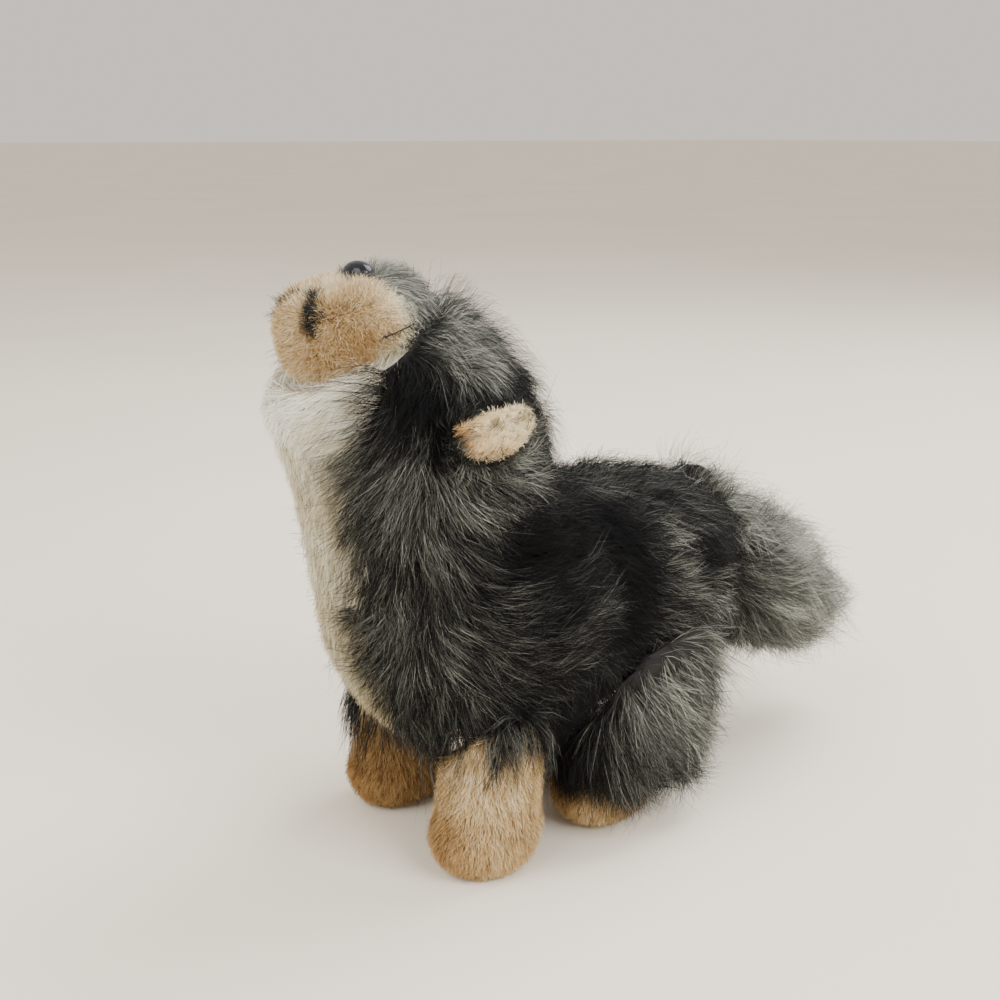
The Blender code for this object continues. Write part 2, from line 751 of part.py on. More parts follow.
def build_legs(body_cutter):
    for side, sign in (("left", 1), ("right", -1)):
        for name, spread, paw_y, top_z, lean in (
            ("front_leg", FRONT_SPREAD, FRONT_PAW_Y, BELLY_Z + 0.030, LEG_LEAN),
            ("hind_leg", HIND_SPREAD, HIND_PAW_Y, BELLY_Z + 0.012, 0.0),
        ):
            form = leg_form(sign, spread, paw_y, top_z, lean)
            rows = steps(0, form.last, LEG_ROWS)
            cover = sock(f"{name}_{side}", form, rows, LEG_COLUMNS, SHORT_PILE, "tan")
            core = filling(f"{name}_stuffing_{side}", form, rows, LEG_COLUMNS, SHORT_PILE + FILLING_GAP / 2)
            cut(cover, body_cutter)
            cut(core, body_cutter)
            if name == "hind_leg":
                room_form = leg_form(sign, spread, paw_y, top_z + SEAT_GAP, lean)
                leg_cutter = make_cutter(f"leg_room_{side}", room_form, rows, LEG_COLUMNS, SEAT_GAP)
                thigh = haunch_form(sign)
                haunch = filling(f"haunch_{side}", thigh, steps(0, thigh.last, HAUNCH_ROWS), TAIL_COLUMNS,
                                 0.0, material_name="coat")
                cut(haunch, body_cutter)
                cut(haunch, leg_cutter)


def build_tail(body_cutter):
    form = tail_form()
    rows = steps(form.last, 0, TAIL_ROWS)
    cover = sock("tail", form, rows, TAIL_COLUMNS, tail_depth, "tail_coat")
    core = filling("tail_stuffing", form, rows, TAIL_COLUMNS, tail_core_depth)
    cut(cover, body_cutter)
    cut(core, body_cutter)


def stand_on_origin():
    # The origin is the middle of the box that holds the wolf, at its soles
    bpy.context.view_layer.update()
    graph = bpy.context.evaluated_depsgraph_get()
    low = Vector((math.inf,) * 3)
    high = Vector((-math.inf,) * 3)
    for made in collection.objects:
        if made.type == "EMPTY":
            continue
        shape = made.evaluated_get(graph)
        mesh = shape.to_mesh()
        for vert in mesh.vertices:
            place = shape.matrix_world @ vert.co
            low = Vector(map(min, low, place))
            high = Vector(map(max, high, place))
        shape.to_mesh_clear()
    root.location = (-(low.x + high.x) / 2, -(low.y + high.y) / 2, -low.z)


build_trunk()
build_muzzle()
stuff_muzzle()
body_room = make_cutter("body_room", trunk, trunk_rows(0, NECK_STATION), ROOM_COLUMNS, SEAT_GAP)
build_legs(body_room)
build_tail(body_room)
build_nose()
build_eyelids()
build_ears()
stand_on_origin()
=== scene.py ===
# Howling plush wolf: shaggy dark coat, cream bib, tan muzzle and paws, glossy bead nose.
# Every cover of the CAD model is dressed with real strands of pile over a knitted backing.
import math
from functools import partial

import bmesh
import bpy
import numpy as np
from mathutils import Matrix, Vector
from mathutils.bvhtree import BVHTree


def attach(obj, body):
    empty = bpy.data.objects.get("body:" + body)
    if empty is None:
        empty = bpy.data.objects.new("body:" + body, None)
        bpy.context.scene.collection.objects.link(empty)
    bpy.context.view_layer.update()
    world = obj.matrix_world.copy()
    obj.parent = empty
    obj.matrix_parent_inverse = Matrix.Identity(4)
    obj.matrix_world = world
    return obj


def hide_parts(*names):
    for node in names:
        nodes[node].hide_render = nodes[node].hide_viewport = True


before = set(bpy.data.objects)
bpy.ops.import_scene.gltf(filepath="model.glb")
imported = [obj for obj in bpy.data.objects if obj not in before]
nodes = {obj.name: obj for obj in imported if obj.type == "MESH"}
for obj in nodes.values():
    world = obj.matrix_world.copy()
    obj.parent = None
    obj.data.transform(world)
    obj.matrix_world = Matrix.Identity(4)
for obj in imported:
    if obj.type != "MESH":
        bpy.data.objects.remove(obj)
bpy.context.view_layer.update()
mm = 0.001
fullTurn = 6.28  # radians


# Node helpers, for shader trees and geometry trees alike

def plug(tree, value, slot):
    if isinstance(value, bpy.types.NodeSocket):
        tree.links.new(value, slot)
    else:
        slot.default_value = value


def number(tree, operation, *values):
    node = tree.nodes.new("ShaderNodeMath")
    node.operation = operation
    for value, slot in zip(values, node.inputs):
        plug(tree, value, slot)
    return node.outputs[0]


def vector(tree, operation, *values):
    node = tree.nodes.new("ShaderNodeVectorMath")
    node.operation = operation
    for value, slot in zip(values, node.inputs):
        plug(tree, value, node.inputs["Scale"] if operation == "SCALE" and slot == node.inputs[1] else slot)
    return node.outputs["Value" if operation in ("DOT_PRODUCT", "LENGTH") else "Vector"]


def node(tree, kind, settings=None, **inputs):
    made = tree.nodes.new(kind)
    for name, value in (settings or {}).items():
        setattr(made, name, value)
    for name, value in inputs.items():
        plug(tree, value, made.inputs[name.replace("_", " ")])
    return made


def ramp(tree, factor, stops):
    made = node(tree, "ShaderNodeValToRGB", Fac=factor)
    made.color_ramp.interpolation = "EASE" if len(stops) < 3 else "LINEAR"
    while len(made.color_ramp.elements) < len(stops):
        made.color_ramp.elements.new(0.5)
    for element, (place, colour) in zip(made.color_ramp.elements, stops):
        element.position = place
        element.color = (*colour, 1)
    return made.outputs["Color"]


def eased(tree, factor, low, high):
    # 0 below the low value, 1 above the high one, with a soft start and end
    return ramp(tree, factor, [(low, (0, 0, 0)), (high, (1, 1, 1))])


def mixColour(tree, factor, first, second):
    made = node(tree, "ShaderNodeMix", {"data_type": "RGBA"})
    for value, slot in ((factor, 0), (first, 6), (second, 7)):
        plug(tree, value, made.inputs[slot])
    return made.outputs[2]


def objectPlace(tree):
    return node(tree, "ShaderNodeTexCoord").outputs["Object"]


def newMaterial(name, **inputs):
    made = bpy.data.materials.new(name)
    made.use_nodes = True
    shader = made.node_tree.nodes["Principled BSDF"]
    for slot, value in inputs.items():
        shader.inputs[slot.replace("_", " ")].default_value = value
    return made, made.node_tree, shader


def finish(tree, shader, colour, height=None, strength=0.4, distance=0.2 * mm):
    tree.links.new(colour, shader.inputs["Base Color"])
    if height is not None:
        bump = node(tree, "ShaderNodeBump", Height=height, Strength=strength, Distance=distance)
        tree.links.new(bump.outputs[0], shader.inputs["Normal"])


def shaderGroup(name, inputs, outputs, build):
    # An effect that more than one material has, with named inputs
    tree = bpy.data.node_groups.new(name, "ShaderNodeTree")
    for way, sockets in (("INPUT", inputs), ("OUTPUT", outputs)):
        for socket, kind in sockets.items():
            tree.interface.new_socket(socket, in_out=way, socket_type=f"NodeSocket{kind}")
    results = build(tree, tree.nodes.new("NodeGroupInput").outputs)
    leaving = tree.nodes.new("NodeGroupOutput")
    for socket, value in zip(outputs, results):
        tree.links.new(value, leaving.inputs[socket])
    return tree


def effect(tree, group, **inputs):
    return node(tree, "ShaderNodeGroup", {"node_tree": group}, **inputs).outputs


# Pile takes its colour from the strand's own map, u for tone and v from root to tip

def blendAlong(tree, given):
    colour = given["Root"]
    for change, later in (("Rise", "Middle"), ("Fall", "Tip")):
        share = node(tree, "ShaderNodeMapRange", {"interpolation_type": "SMOOTHSTEP"}, Value=given["Along"],
                     From_Min=given[f"{change} From"], From_Max=given[f"{change} To"])
        colour = mixColour(tree, share.outputs[0], colour, given[later])
    return [colour]


strandGroup = shaderGroup("strandColour", {
    "Along": "Float", "Root": "Color", "Middle": "Color", "Tip": "Color",
    "Rise From": "Float", "Rise To": "Float", "Fall From": "Float", "Fall To": "Float",
}, {"Colour": "Color"}, blendAlong)


def pileMaterial(name, look):
    made, tree, shader = newMaterial(name, Roughness=look["roughness"], Specular_IOR_Level=look["specular"])
    strand = node(tree, "ShaderNodeUVMap", {"uv_map": "OFBake"})
    tone, along = node(tree, "ShaderNodeSeparateXYZ", Vector=strand.outputs[0]).outputs[:2]
    root, middle, tip = (ramp(tree, tone, look[part]) for part in ("root", "middle", "tip"))
    blend = effect(tree, strandGroup, Along=along, Root=root, Middle=middle, Tip=tip,
                   Rise_From=look["rise"][0], Rise_To=look["rise"][1],
                   Fall_From=look["fall"][0], Fall_To=look["fall"][1])
    finish(tree, shader, blend["Colour"])
    return made


def grey(level, olive=0.08):
    return (level * (1 - olive * 0.1), level, level * (1 - olive))


coatLook = {
    "root": [(0.0, grey(0.003, 0)), (0.5, grey(0.012)), (1.0, grey(0.1))],
    "middle": [(0.0, grey(0.0025, -0.1)), (0.25, grey(0.006, -0.05)), (0.45, grey(0.055, 0.14)),
               (0.7, grey(0.17, 0.15)), (1.0, grey(0.5, 0.12))],
    "tip": [(0.0, grey(0.002, -0.15)), (0.4, grey(0.006, -0.1)), (0.65, grey(0.1, 0.08)),
            (1.0, grey(0.52, 0.1))],
    "rise": (0.05, 0.4), "fall": (0.6, 0.95), "roughness": 0.6, "specular": 0.1,
}
creamLook = {
    "root": [(0.0, (0.36, 0.29, 0.15)), (1.0, (0.7, 0.65, 0.5))],
    "middle": [(0.0, (0.46, 0.38, 0.21)), (0.5, (0.64, 0.58, 0.4)), (1.0, (0.95, 0.94, 0.85))],
    "tip": [(0.0, (0.56, 0.48, 0.3)), (0.5, (0.74, 0.7, 0.54)), (1.0, (0.98, 0.98, 0.95))],
    "rise": (0.0, 0.4), "fall": (0.5, 1.0), "roughness": 0.6, "specular": 0.2,
}
tanLook = {
    "root": [(0.0, (0.12, 0.055, 0.016)), (0.5, (0.26, 0.155, 0.065)), (1.0, (0.66, 0.54, 0.36))],
    "middle": [(0.0, (0.22, 0.115, 0.036)), (0.5, (0.46, 0.31, 0.135)), (1.0, (0.93, 0.82, 0.58))],
    "tip": [(0.0, (0.4, 0.23, 0.085)), (0.5, (0.68, 0.5, 0.25)), (1.0, (0.98, 0.92, 0.74))],
    "rise": (0.0, 0.5), "fall": (0.4, 1.0), "roughness": 0.65, "specular": 0.12,
}
earLook = {
    **tanLook,
    "root": [(0.0, (0.45, 0.27, 0.1)), (1.0, (0.8, 0.66, 0.42))],
    "middle": [(0.0, (0.6, 0.38, 0.17)), (0.5, (0.84, 0.66, 0.38)), (1.0, (0.98, 0.88, 0.62))],
    "tip": [(0.0, (0.75, 0.52, 0.26)), (0.5, (0.93, 0.78, 0.5)), (1.0, (0.99, 0.93, 0.72))],
}
coatPile = pileMaterial("coatPile", coatLook)
creamPile = pileMaterial("creamPile", creamLook)
tanPile = pileMaterial("tanPile", tanLook)
earPile = pileMaterial("earPile", earLook)


# Knitted backing: rows of loops, read in object coordinates; above its hem a leg is as dark as the coat

def knit(tree, given):
    wave = node(tree, "ShaderNodeTexWave", {"wave_type": "BANDS", "bands_direction": "Z"},
                Vector=given["Place"], Scale=given["Rows"], Distortion=1.5)
    blotch = node(tree, "ShaderNodeTexNoise", Vector=given["Place"], Scale=90.0)
    shade = number(tree, "MULTIPLY", wave.outputs["Fac"], blotch.outputs["Fac"])
    return [mixColour(tree, eased(tree, shade, 0.0, 1.0), given["Dark"], given["Light"]), wave.outputs["Fac"]]


knitGroup = shaderGroup("knit", {"Place": "Vector", "Rows": "Float", "Light": "Color", "Dark": "Color"},
                        {"Colour": "Color", "Height": "Float"}, knit)
loopPitch = 0.5 * mm
hemFade = {"below": 1.5 * mm, "above": 0.5 * mm, "dye": (0.012, 0.011, 0.01, 1)}


def clothMaterial(name, light, dark, hem=None):
    made, tree, shader = newMaterial(name, Roughness=0.9)
    place = objectPlace(tree)
    loops = effect(tree, knitGroup, Place=place, Rows=1 / loopPitch / fullTurn, Light=(*light, 1), Dark=(*dark, 1))
    colour = loops["Colour"]
    if hem is not None:
        height = node(tree, "ShaderNodeSeparateXYZ", Vector=place).outputs[2]
        rise = node(tree, "ShaderNodeMapRange", Value=height,
                    From_Min=hem - hemFade["below"], From_Max=hem + hemFade["above"])
        colour = mixColour(tree, rise.outputs[0], colour, hemFade["dye"])
    finish(tree, shader, colour, loops["Height"])
    return made


darkCloth = clothMaterial("darkCloth", (0.011, 0.01, 0.0095), (0.005, 0.0045, 0.0045))
creamCloth = clothMaterial("creamCloth", (0.6, 0.52, 0.38), (0.38, 0.31, 0.2))
tanKnit = ((0.42, 0.27, 0.13), (0.24, 0.13, 0.05))
tanCloth = clothMaterial("tanCloth", *tanKnit)


# Loose polyester filling; on the head it is dyed by the hair that grows over it

def fibre(tree, given):
    tangle = node(tree, "ShaderNodeTexNoise", Vector=given["Place"], Scale=700.0, Detail=4.0).outputs["Fac"]
    return [ramp(tree, tangle, [(0.3, (0.5, 0.44, 0.33)), (0.7, (0.72, 0.66, 0.52))]), tangle]


fibreGroup = shaderGroup("fibre", {"Place": "Vector"}, {"Colour": "Color", "Height": "Float"}, fibre)
dyeFade = {"reach": 2 * mm, "dye": (0.02, 0.018, 0.016, 1)}


def fibreMaterial(name, backY=None):
    made, tree, shader = newMaterial(name, Roughness=0.95)
    place = objectPlace(tree)
    tangle = effect(tree, fibreGroup, Place=place)
    colour = tangle["Colour"]
    if backY is not None:
        edge = node(tree, "ShaderNodeMapRange", Value=node(tree, "ShaderNodeSeparateXYZ", Vector=place).outputs[1],
                    From_Min=backY - dyeFade["reach"], From_Max=backY + dyeFade["reach"])
        colour = mixColour(tree, edge.outputs[0], colour, dyeFade["dye"])
    finish(tree, shader, colour, tangle["Height"], 0.6, 0.4 * mm)
    return made


def threadMaterial():
    made, tree, shader = newMaterial("blackThread", Roughness=0.6, Specular_IOR_Level=0.2)
    ply = node(tree, "ShaderNodeTexWave", {"wave_type": "BANDS", "bands_direction": "DIAGONAL"},
               Vector=objectPlace(tree), Scale=420.0).outputs["Fac"]
    colour = ramp(tree, ply, [(0.0, (0.012, 0.007, 0.005)), (1.0, (0.06, 0.036, 0.022))])
    finish(tree, shader, colour, ply, 0.5, 0.1 * mm)
    return made


# Plastic, clouded and a little worn

def clouded(tree, given):
    cloud = node(tree, "ShaderNodeTexNoise", Vector=given["Place"], Scale=given["Scale"]).outputs["Fac"]
    wear = node(tree, "ShaderNodeMapRange", Value=cloud, To_Min=given["Roughness"],
                To_Max=number(tree, "MULTIPLY", given["Roughness"], 1.6))
    return [mixColour(tree, eased(tree, cloud, 0.35, 0.65), given["Dark"], given["Light"]), wear.outputs[0]]


plasticGroup = shaderGroup(
    "cloudedPlastic", {"Place": "Vector", "Scale": "Float", "Dark": "Color", "Light": "Color", "Roughness": "Float"},
    {"Colour": "Color", "Roughness": "Float"}, clouded)


def plasticMaterial(name, dark, light, roughness, scale, **inputs):
    made, tree, shader = newMaterial(name, **inputs)
    plastic = effect(tree, plasticGroup, Place=objectPlace(tree), Scale=scale, Dark=(*dark, 1), Light=(*light, 1),
                     Roughness=roughness)
    finish(tree, shader, plastic["Colour"])
    tree.links.new(plastic["Roughness"], shader.inputs["Roughness"])
    return made


def dyeNode(nodeName, material):
    nodes[nodeName].data.materials.clear()
    nodes[nodeName].data.materials.append(material)


eyeY = -78.5 * mm  # cream hair grows round the face below the eye, dark hair from there on
filling = fibreMaterial("filling")
dyeNode("head_stuffing", fibreMaterial("headFilling", eyeY))
for nodeName in nodes:
    if "stuffing" in nodeName and nodeName != "head_stuffing":
        dyeNode(nodeName, filling)
thread = threadMaterial()
dyeNode("nose_washer", plasticMaterial("washerPlastic", (0.5, 0.5, 0.48), (0.62, 0.62, 0.6), 0.4, 300.0))
beadPlastic = plasticMaterial("beadPlastic", (0.004, 0.005, 0.01), (0.008, 0.01, 0.02), 0.16, 250.0,
                              Specular_IOR_Level=0.35)
print("materials ready")


# The strands: one geometry tree for every kind of pile, with the long coat's values as its own

pileInputs = {
    "density": 3.1e6, "seed": 0, "hairWidth": 0.17 * mm, "segments": 2, "lengthSpread": 0.35,
    "hairSpread": 0.25, "lockSpread": 0.36, "lockLift": 2.1 * mm, "tipSpread": 1.5 * mm, "lockPull": 0.7,
    "lockDensity": 60000.0, "curl": 0.07, "droop": 0.03, "bodyRadius": 42 * mm, "toneSpread": 0.32,
    "lockTone": 0.12, "toneNoise": 0.3, "toneScale": 90.0, "tipWidth": 0.2,
}
# What is added to a piece's seed for each kind of draw
draws = {"locks": 7, "lockTurn": 11, "ownTurn": 12, "roll": 13, "length": 14, "lift": 15, "tone": 16, "phase": 17}
strandShape = {
    "roll": 1.1,          # how far a ribbon turns about its own line, in radians either way
    "leastRun": 0.09,     # the least share of its squared length that a hair runs along the skin
    "lean": 1.2,          # power by which a hair leans over along its length
    "waves": 5.0,         # radians of curl in one hair
    "taper": 1.6,
    "gather": 1.5,        # power by which hairs draw together into their lock
    "mapWidth": 0.008,    # width of a strand in its map
    "toneRange": (0.01, 0.99), "toneOnset": 3.0,  # black places stay black: tones spread only above a third
}


def buildPileTree():
    tree = bpy.data.node_groups.new("pileStrands", "GeometryNodeTree")

    def socket(name, kind, way="INPUT"):
        tree.interface.new_socket(name, in_out=way, socket_type=f"NodeSocket{kind}")

    socket("skin", "Geometry")
    for name, value in pileInputs.items():
        socket(name, "Int" if isinstance(value, int) else "Float")
    socket("pile", "Material")
    socket("strands", "Geometry", "OUTPUT")
    given = tree.nodes.new("NodeGroupInput").outputs
    plus, minus, times, over, power, least, most, sine = (
        partial(number, tree, operation)
        for operation in ("ADD", "SUBTRACT", "MULTIPLY", "DIVIDE", "POWER", "MINIMUM", "MAXIMUM", "SINE"))
    join, apart, scaled, crossed, unit = (
        partial(vector, tree, operation) for operation in ("ADD", "SUBTRACT", "SCALE", "CROSS_PRODUCT", "NORMALIZE"))

    def painted(name, kind="FLOAT"):
        return node(tree, "GeometryNodeInputNamedAttribute", {"data_type": kind}, Name=name).outputs["Attribute"]

    def line(name):
        return painted(name, "FLOAT_VECTOR")

    def chance(low, high, draw, kind="FLOAT"):
        made = node(tree, "FunctionNodeRandomValue", {"data_type": kind}, Seed=plus(given["seed"], draws[draw]))
        first = 0 if kind == "FLOAT_VECTOR" else 2
        plug(tree, low, made.inputs[first])
        plug(tree, high, made.inputs[first + 1])
        return made.outputs[first // 2]

    def anyWay(draw):
        return chance((-1, -1, -1), (1, 1, 1), draw, "FLOAT_VECTOR")

    def keep(geometry, name, value, kind="FLOAT", domain="POINT"):
        return node(tree, "GeometryNodeStoreNamedAttribute", {"data_type": kind, "domain": domain},
                    Geometry=geometry, Name=name, Value=value).outputs["Geometry"]

    def scatter(density, seed):
        return node(tree, "GeometryNodeDistributePointsOnFaces", {"distribute_method": "RANDOM"},
                    Mesh=given["skin"], Density=density, Seed=seed).outputs["Points"]

    place = tree.nodes.new("GeometryNodeInputPosition").outputs[0]
    points = scatter(times(given["density"], painted("cover")), given["seed"])

    # Each hair belongs to the lock that starts nearest to it
    locks = scatter(given["lockDensity"], plus(given["seed"], draws["locks"]))
    nearest = node(tree, "GeometryNodeSampleNearest", {"domain": "POINT"}, Geometry=locks).outputs[0]

    def fromLock(value):
        return node(tree, "GeometryNodeSampleIndex", {"data_type": "FLOAT_VECTOR", "domain": "POINT"},
                    Geometry=locks, Value=value, Index=nearest).outputs[0]

    lockPlace = fromLock(place)
    lockChance = fromLock(anyWay("lockTurn"))
    lockParts = node(tree, "ShaderNodeSeparateXYZ", Vector=lockChance).outputs

    outward = unit(line("outward"))
    turn = join(scaled(anyWay("ownTurn"), given["hairSpread"]), scaled(lockChance, given["lockSpread"]))
    flow = join(line("flow"), turn)
    flow = unit(apart(flow, scaled(outward, vector(tree, "DOT_PRODUCT", flow, outward))))
    roll = chance(-strandShape["roll"], strandShape["roll"], "roll")
    across = join(scaled(crossed(flow, outward), number(tree, "COSINE", roll)), scaled(outward, sine(roll)))

    spread = times(chance(-1.0, 1.0, "length"), given["lengthSpread"])
    hairLength = times(painted("hairLength"), plus(1.0, spread))
    lift = plus(times(chance(-1.0, 1.0, "lift"), given["tipSpread"]), times(lockParts[2], given["lockLift"]))
    tip = plus(painted("tipHeight"), lift)
    blotches = node(tree, "ShaderNodeTexNoise", {"noise_dimensions": "3D"}, Vector=place, Scale=given["toneScale"])
    patch = times(minus(blotches.outputs[0], 0.5), given["toneNoise"])
    freedom = least(most(times(painted("tone"), strandShape["toneOnset"]), 0.0), 1.0)
    ownTone = times(times(chance(-1.0, 1.0, "tone"), given["toneSpread"]), freedom)
    lockTone = times(times(lockParts[0], given["lockTone"]), freedom)
    tone = plus(plus(painted("tone"), lockTone), plus(patch, ownTone))
    tone = least(most(tone, strandShape["toneRange"][0]), strandShape["toneRange"][1])
    pull = scaled(apart(lockPlace, place), given["lockPull"])

    for name, value in {
        "hairRoot": place, "hairFlow": flow, "hairOut": outward, "hairAcross": across, "hairPull": pull,
        "hairReach": hairLength, "hairTip": tip, "hairTone": tone, "hairPhase": chance(0.0, fullTurn, "phase"),
    }.items():
        points = keep(points, name, value, "FLOAT_VECTOR" if value.type == "VECTOR" else "FLOAT")

    ribbon = node(tree, "GeometryNodeMeshGrid", Vertices_X=2, Vertices_Y=plus(given["segments"], 1))
    placed = node(tree, "GeometryNodeInstanceOnPoints", Points=points, Instance=ribbon.outputs["Mesh"])
    strands = node(tree, "GeometryNodeRealizeInstances", Geometry=placed.outputs[0]).outputs[0]

    # On the ribbon itself: x runs across, and y from the root to the tip
    root = line("hairRoot")
    local = node(tree, "ShaderNodeSeparateXYZ", Vector=apart(place, root)).outputs
    side, along = local[0], plus(local[1], 0.5)
    bakeU = plus(painted("hairTone"), times(side, strandShape["mapWidth"]))
    bakeMap = node(tree, "ShaderNodeCombineXYZ", X=bakeU, Y=along).outputs[0]
    strands = keep(strands, "OFBake", bakeMap, "FLOAT2", "CORNER")

    # A hair rises from the backing to its tip's height and lies along the skin with the rest of its length
    deep, reach = painted("pileDepth"), painted("hairReach")
    rise = plus(deep, painted("hairTip"))
    level = most(minus(times(reach, reach), times(rise, rise)), times(times(reach, reach), strandShape["leastRun"]))
    run = times(number(tree, "SQRT", level), power(along, strandShape["lean"]))
    still = minus(1.0, along)
    climb = times(rise, minus(1.0, times(still, still)))
    wrap = over(times(run, run), times(given["bodyRadius"], 2.0))
    height = minus(minus(climb, deep), wrap)
    wave = sine(plus(times(along, strandShape["waves"]), painted("hairPhase")))
    wave = times(times(wave, along), times(reach, given["curl"]))
    taper = minus(1.0, times(minus(1.0, given["tipWidth"]), power(along, strandShape["taper"])))
    half = times(times(side, given["hairWidth"]), taper)
    sag = times(times(along, along), times(reach, given["droop"]))
    flowLine, outLine = line("hairFlow"), line("hairOut")
    target = root
    for direction, amount in (
        (flowLine, run), (outLine, height), (crossed(flowLine, outLine), wave), (line("hairAcross"), half),
        (line("hairPull"), power(along, strandShape["gather"])), ((0, 0, -1), sag),
    ):
        target = join(target, scaled(direction, amount))
    moved = node(tree, "GeometryNodeSetPosition", Geometry=strands, Position=target)
    done = node(tree, "GeometryNodeSetMaterial", Geometry=moved.outputs[0], Material=given["pile"])
    tree.links.new(done.outputs[0], tree.nodes.new("NodeGroupOutput").inputs[0])
    return tree


pileTree = buildPileTree()


# Skins: the outer faces of a CAD cover, copied, merged and painted with how the pile lies

def nodeTree(*names):
    # One tree of the faces of several CAD nodes, to measure distances to
    places, faces = [], []
    for name in names:
        mesh = nodes[name].data
        first = len(places)
        places += [vert.co[:] for vert in mesh.vertices]
        faces += [[first + corner for corner in face.vertices] for face in mesh.polygons]
    return BVHTree.FromPolygons(places, faces)


skinRules = {
    "innerLimit": 1.9 * mm,   # a cover's inner faces lie closer to the filling than this
    "buried": 2.5 * mm,       # hair doesn't grow where this far out is inside a neighbour
    "clothShare": 0.62,       # how deep the backing lies, as a share of the pile
    "clothLimit": 6.7 * mm,
    "clothThickness": 0.6 * mm,
    "hairShare": 0.6,         # and how deep the hair is rooted
    "hairLimit": 6.5 * mm,
}
mergeGap = 0.00001  # metres
# Fabric stands proud of the solids by no more than this: hair beyond it is trimmed short
trimBox = {"x": (46 * mm, 0.25), "y": (111 * mm, 0.3), "top": (178 * mm, 0.5), "floor": 0.15 * mm}
fillingTree = nodeTree(*(name for name in nodes if "stuffing" in name))


def fillingGap(place):
    return fillingTree.find_nearest(place)[3]


def inside(tree, place):
    # A place is inside closed solids when a ray from it leaves through an odd number of faces
    way = Vector((0.31, 0.17, 0.93)).normalized()
    crossings = 0
    hit = tree.ray_cast(place, way)[0]
    while hit is not None:
        crossings += 1
        hit = tree.ray_cast(hit + way * mergeGap, way)[0]
    return crossings % 2 == 1


def outerSkin(nodeNames, whole=False, cuts=1, above=None):
    # A whole skin keeps its inner faces too; one cut above a height keeps only the faces over it
    bm = bmesh.new()
    for name in nodeNames if isinstance(nodeNames, list) else [nodeNames]:
        bm.from_mesh(nodes[name].data)
    bmesh.ops.remove_doubles(bm, verts=bm.verts, dist=mergeGap)
    inner = set() if whole else {vert for vert in bm.verts if fillingGap(vert.co) < skinRules["innerLimit"]}
    spare = [face for face in bm.faces if any(vert in inner for vert in face.verts)
             or (above is not None and face.calc_center_median().z <= above)]
    bmesh.ops.delete(bm, geom=spare, context="FACES")
    if cuts:
        bmesh.ops.subdivide_edges(bm, edges=bm.edges, cuts=cuts, use_grid_fill=True)
    bmesh.ops.triangulate(bm, faces=bm.faces)
    mesh = bpy.data.meshes.new("skin")
    bm.to_mesh(mesh)
    bm.free()
    mesh.shade_smooth()
    return mesh


def openTo(skin, *neighbours, buried=skinRules["buried"]):
    # 1 where hair has room to grow, 0 where a neighbouring piece covers the skin
    beside = nodeTree(*neighbours)
    reach = placesOf(skin) + outwardOf(skin) * buried
    return np.array([not inside(beside, Vector(place)) for place in reach], dtype=float)


def asArray(source, name):
    values = np.zeros(len(source) * 3, dtype=np.float32)
    source.foreach_get(name, values)
    return values.reshape(-1, 3)


def placesOf(mesh):
    return asArray(mesh.vertices, "co")


def outwardOf(mesh):
    return asArray(mesh.vertex_normals, "vector")


def newObject(name, data):
    made = bpy.data.objects.new(name, data)
    bpy.context.scene.collection.objects.link(made)
    return made


def settle(made, replaced=()):
    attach(made, "root")
    if replaced:
        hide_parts(*replaced)


def paint(mesh, name, values):
    kind, slot = ("FLOAT_VECTOR", "vector") if values.ndim == 2 else ("FLOAT", "value")
    if name in mesh.attributes:
        mesh.attributes.remove(mesh.attributes[name])
    made = mesh.attributes.new(name, kind, "POINT")
    made.data.foreach_set(slot, np.ascontiguousarray(values, dtype=np.float32).ravel())


combRules = {"blur": 1.5, "sharpness": 3.0}  # millimetres, and the power that a mark's pull falls off by


def combed(places, guides):
    # Blends the comb's marks by distance; the right side mirrors the left one
    marks, ways, rest = np.split(np.array(guides, dtype=float), (3, 6), axis=1)
    ways /= np.linalg.norm(ways, axis=1)[:, None]
    folded = places / mm
    folded[:, 0] = np.abs(folded[:, 0])
    gaps = np.linalg.norm(folded[:, None, :] - marks[None, :, :], axis=2) + combRules["blur"]
    weights = gaps ** -combRules["sharpness"]
    weights /= weights.sum(axis=1)[:, None]
    flow = weights @ ways
    flow[:, 0] *= np.sign(places[:, 0] + 1e-9)
    return flow, weights @ rest


def pileDepths(places, depth, share, limit):
    if depth is not None:
        return np.full(len(places), depth)
    return np.minimum([fillingGap(Vector(place)) * share for place in places], limit)


def trim(mesh):
    places = placesOf(mesh)
    for axis, (limit, share) in enumerate((trimBox["x"], trimBox["y"])):
        beyond = np.maximum(np.abs(places[:, axis]) - limit, 0)
        places[:, axis] -= np.sign(places[:, axis]) * beyond * (1 - share)
    limit, share = trimBox["top"]
    places[:, 2] -= np.maximum(places[:, 2] - limit, 0) * (1 - share)
    places[:, 2] = np.maximum(places[:, 2], trimBox["floor"])
    mesh.vertices.foreach_set("co", places.ravel())


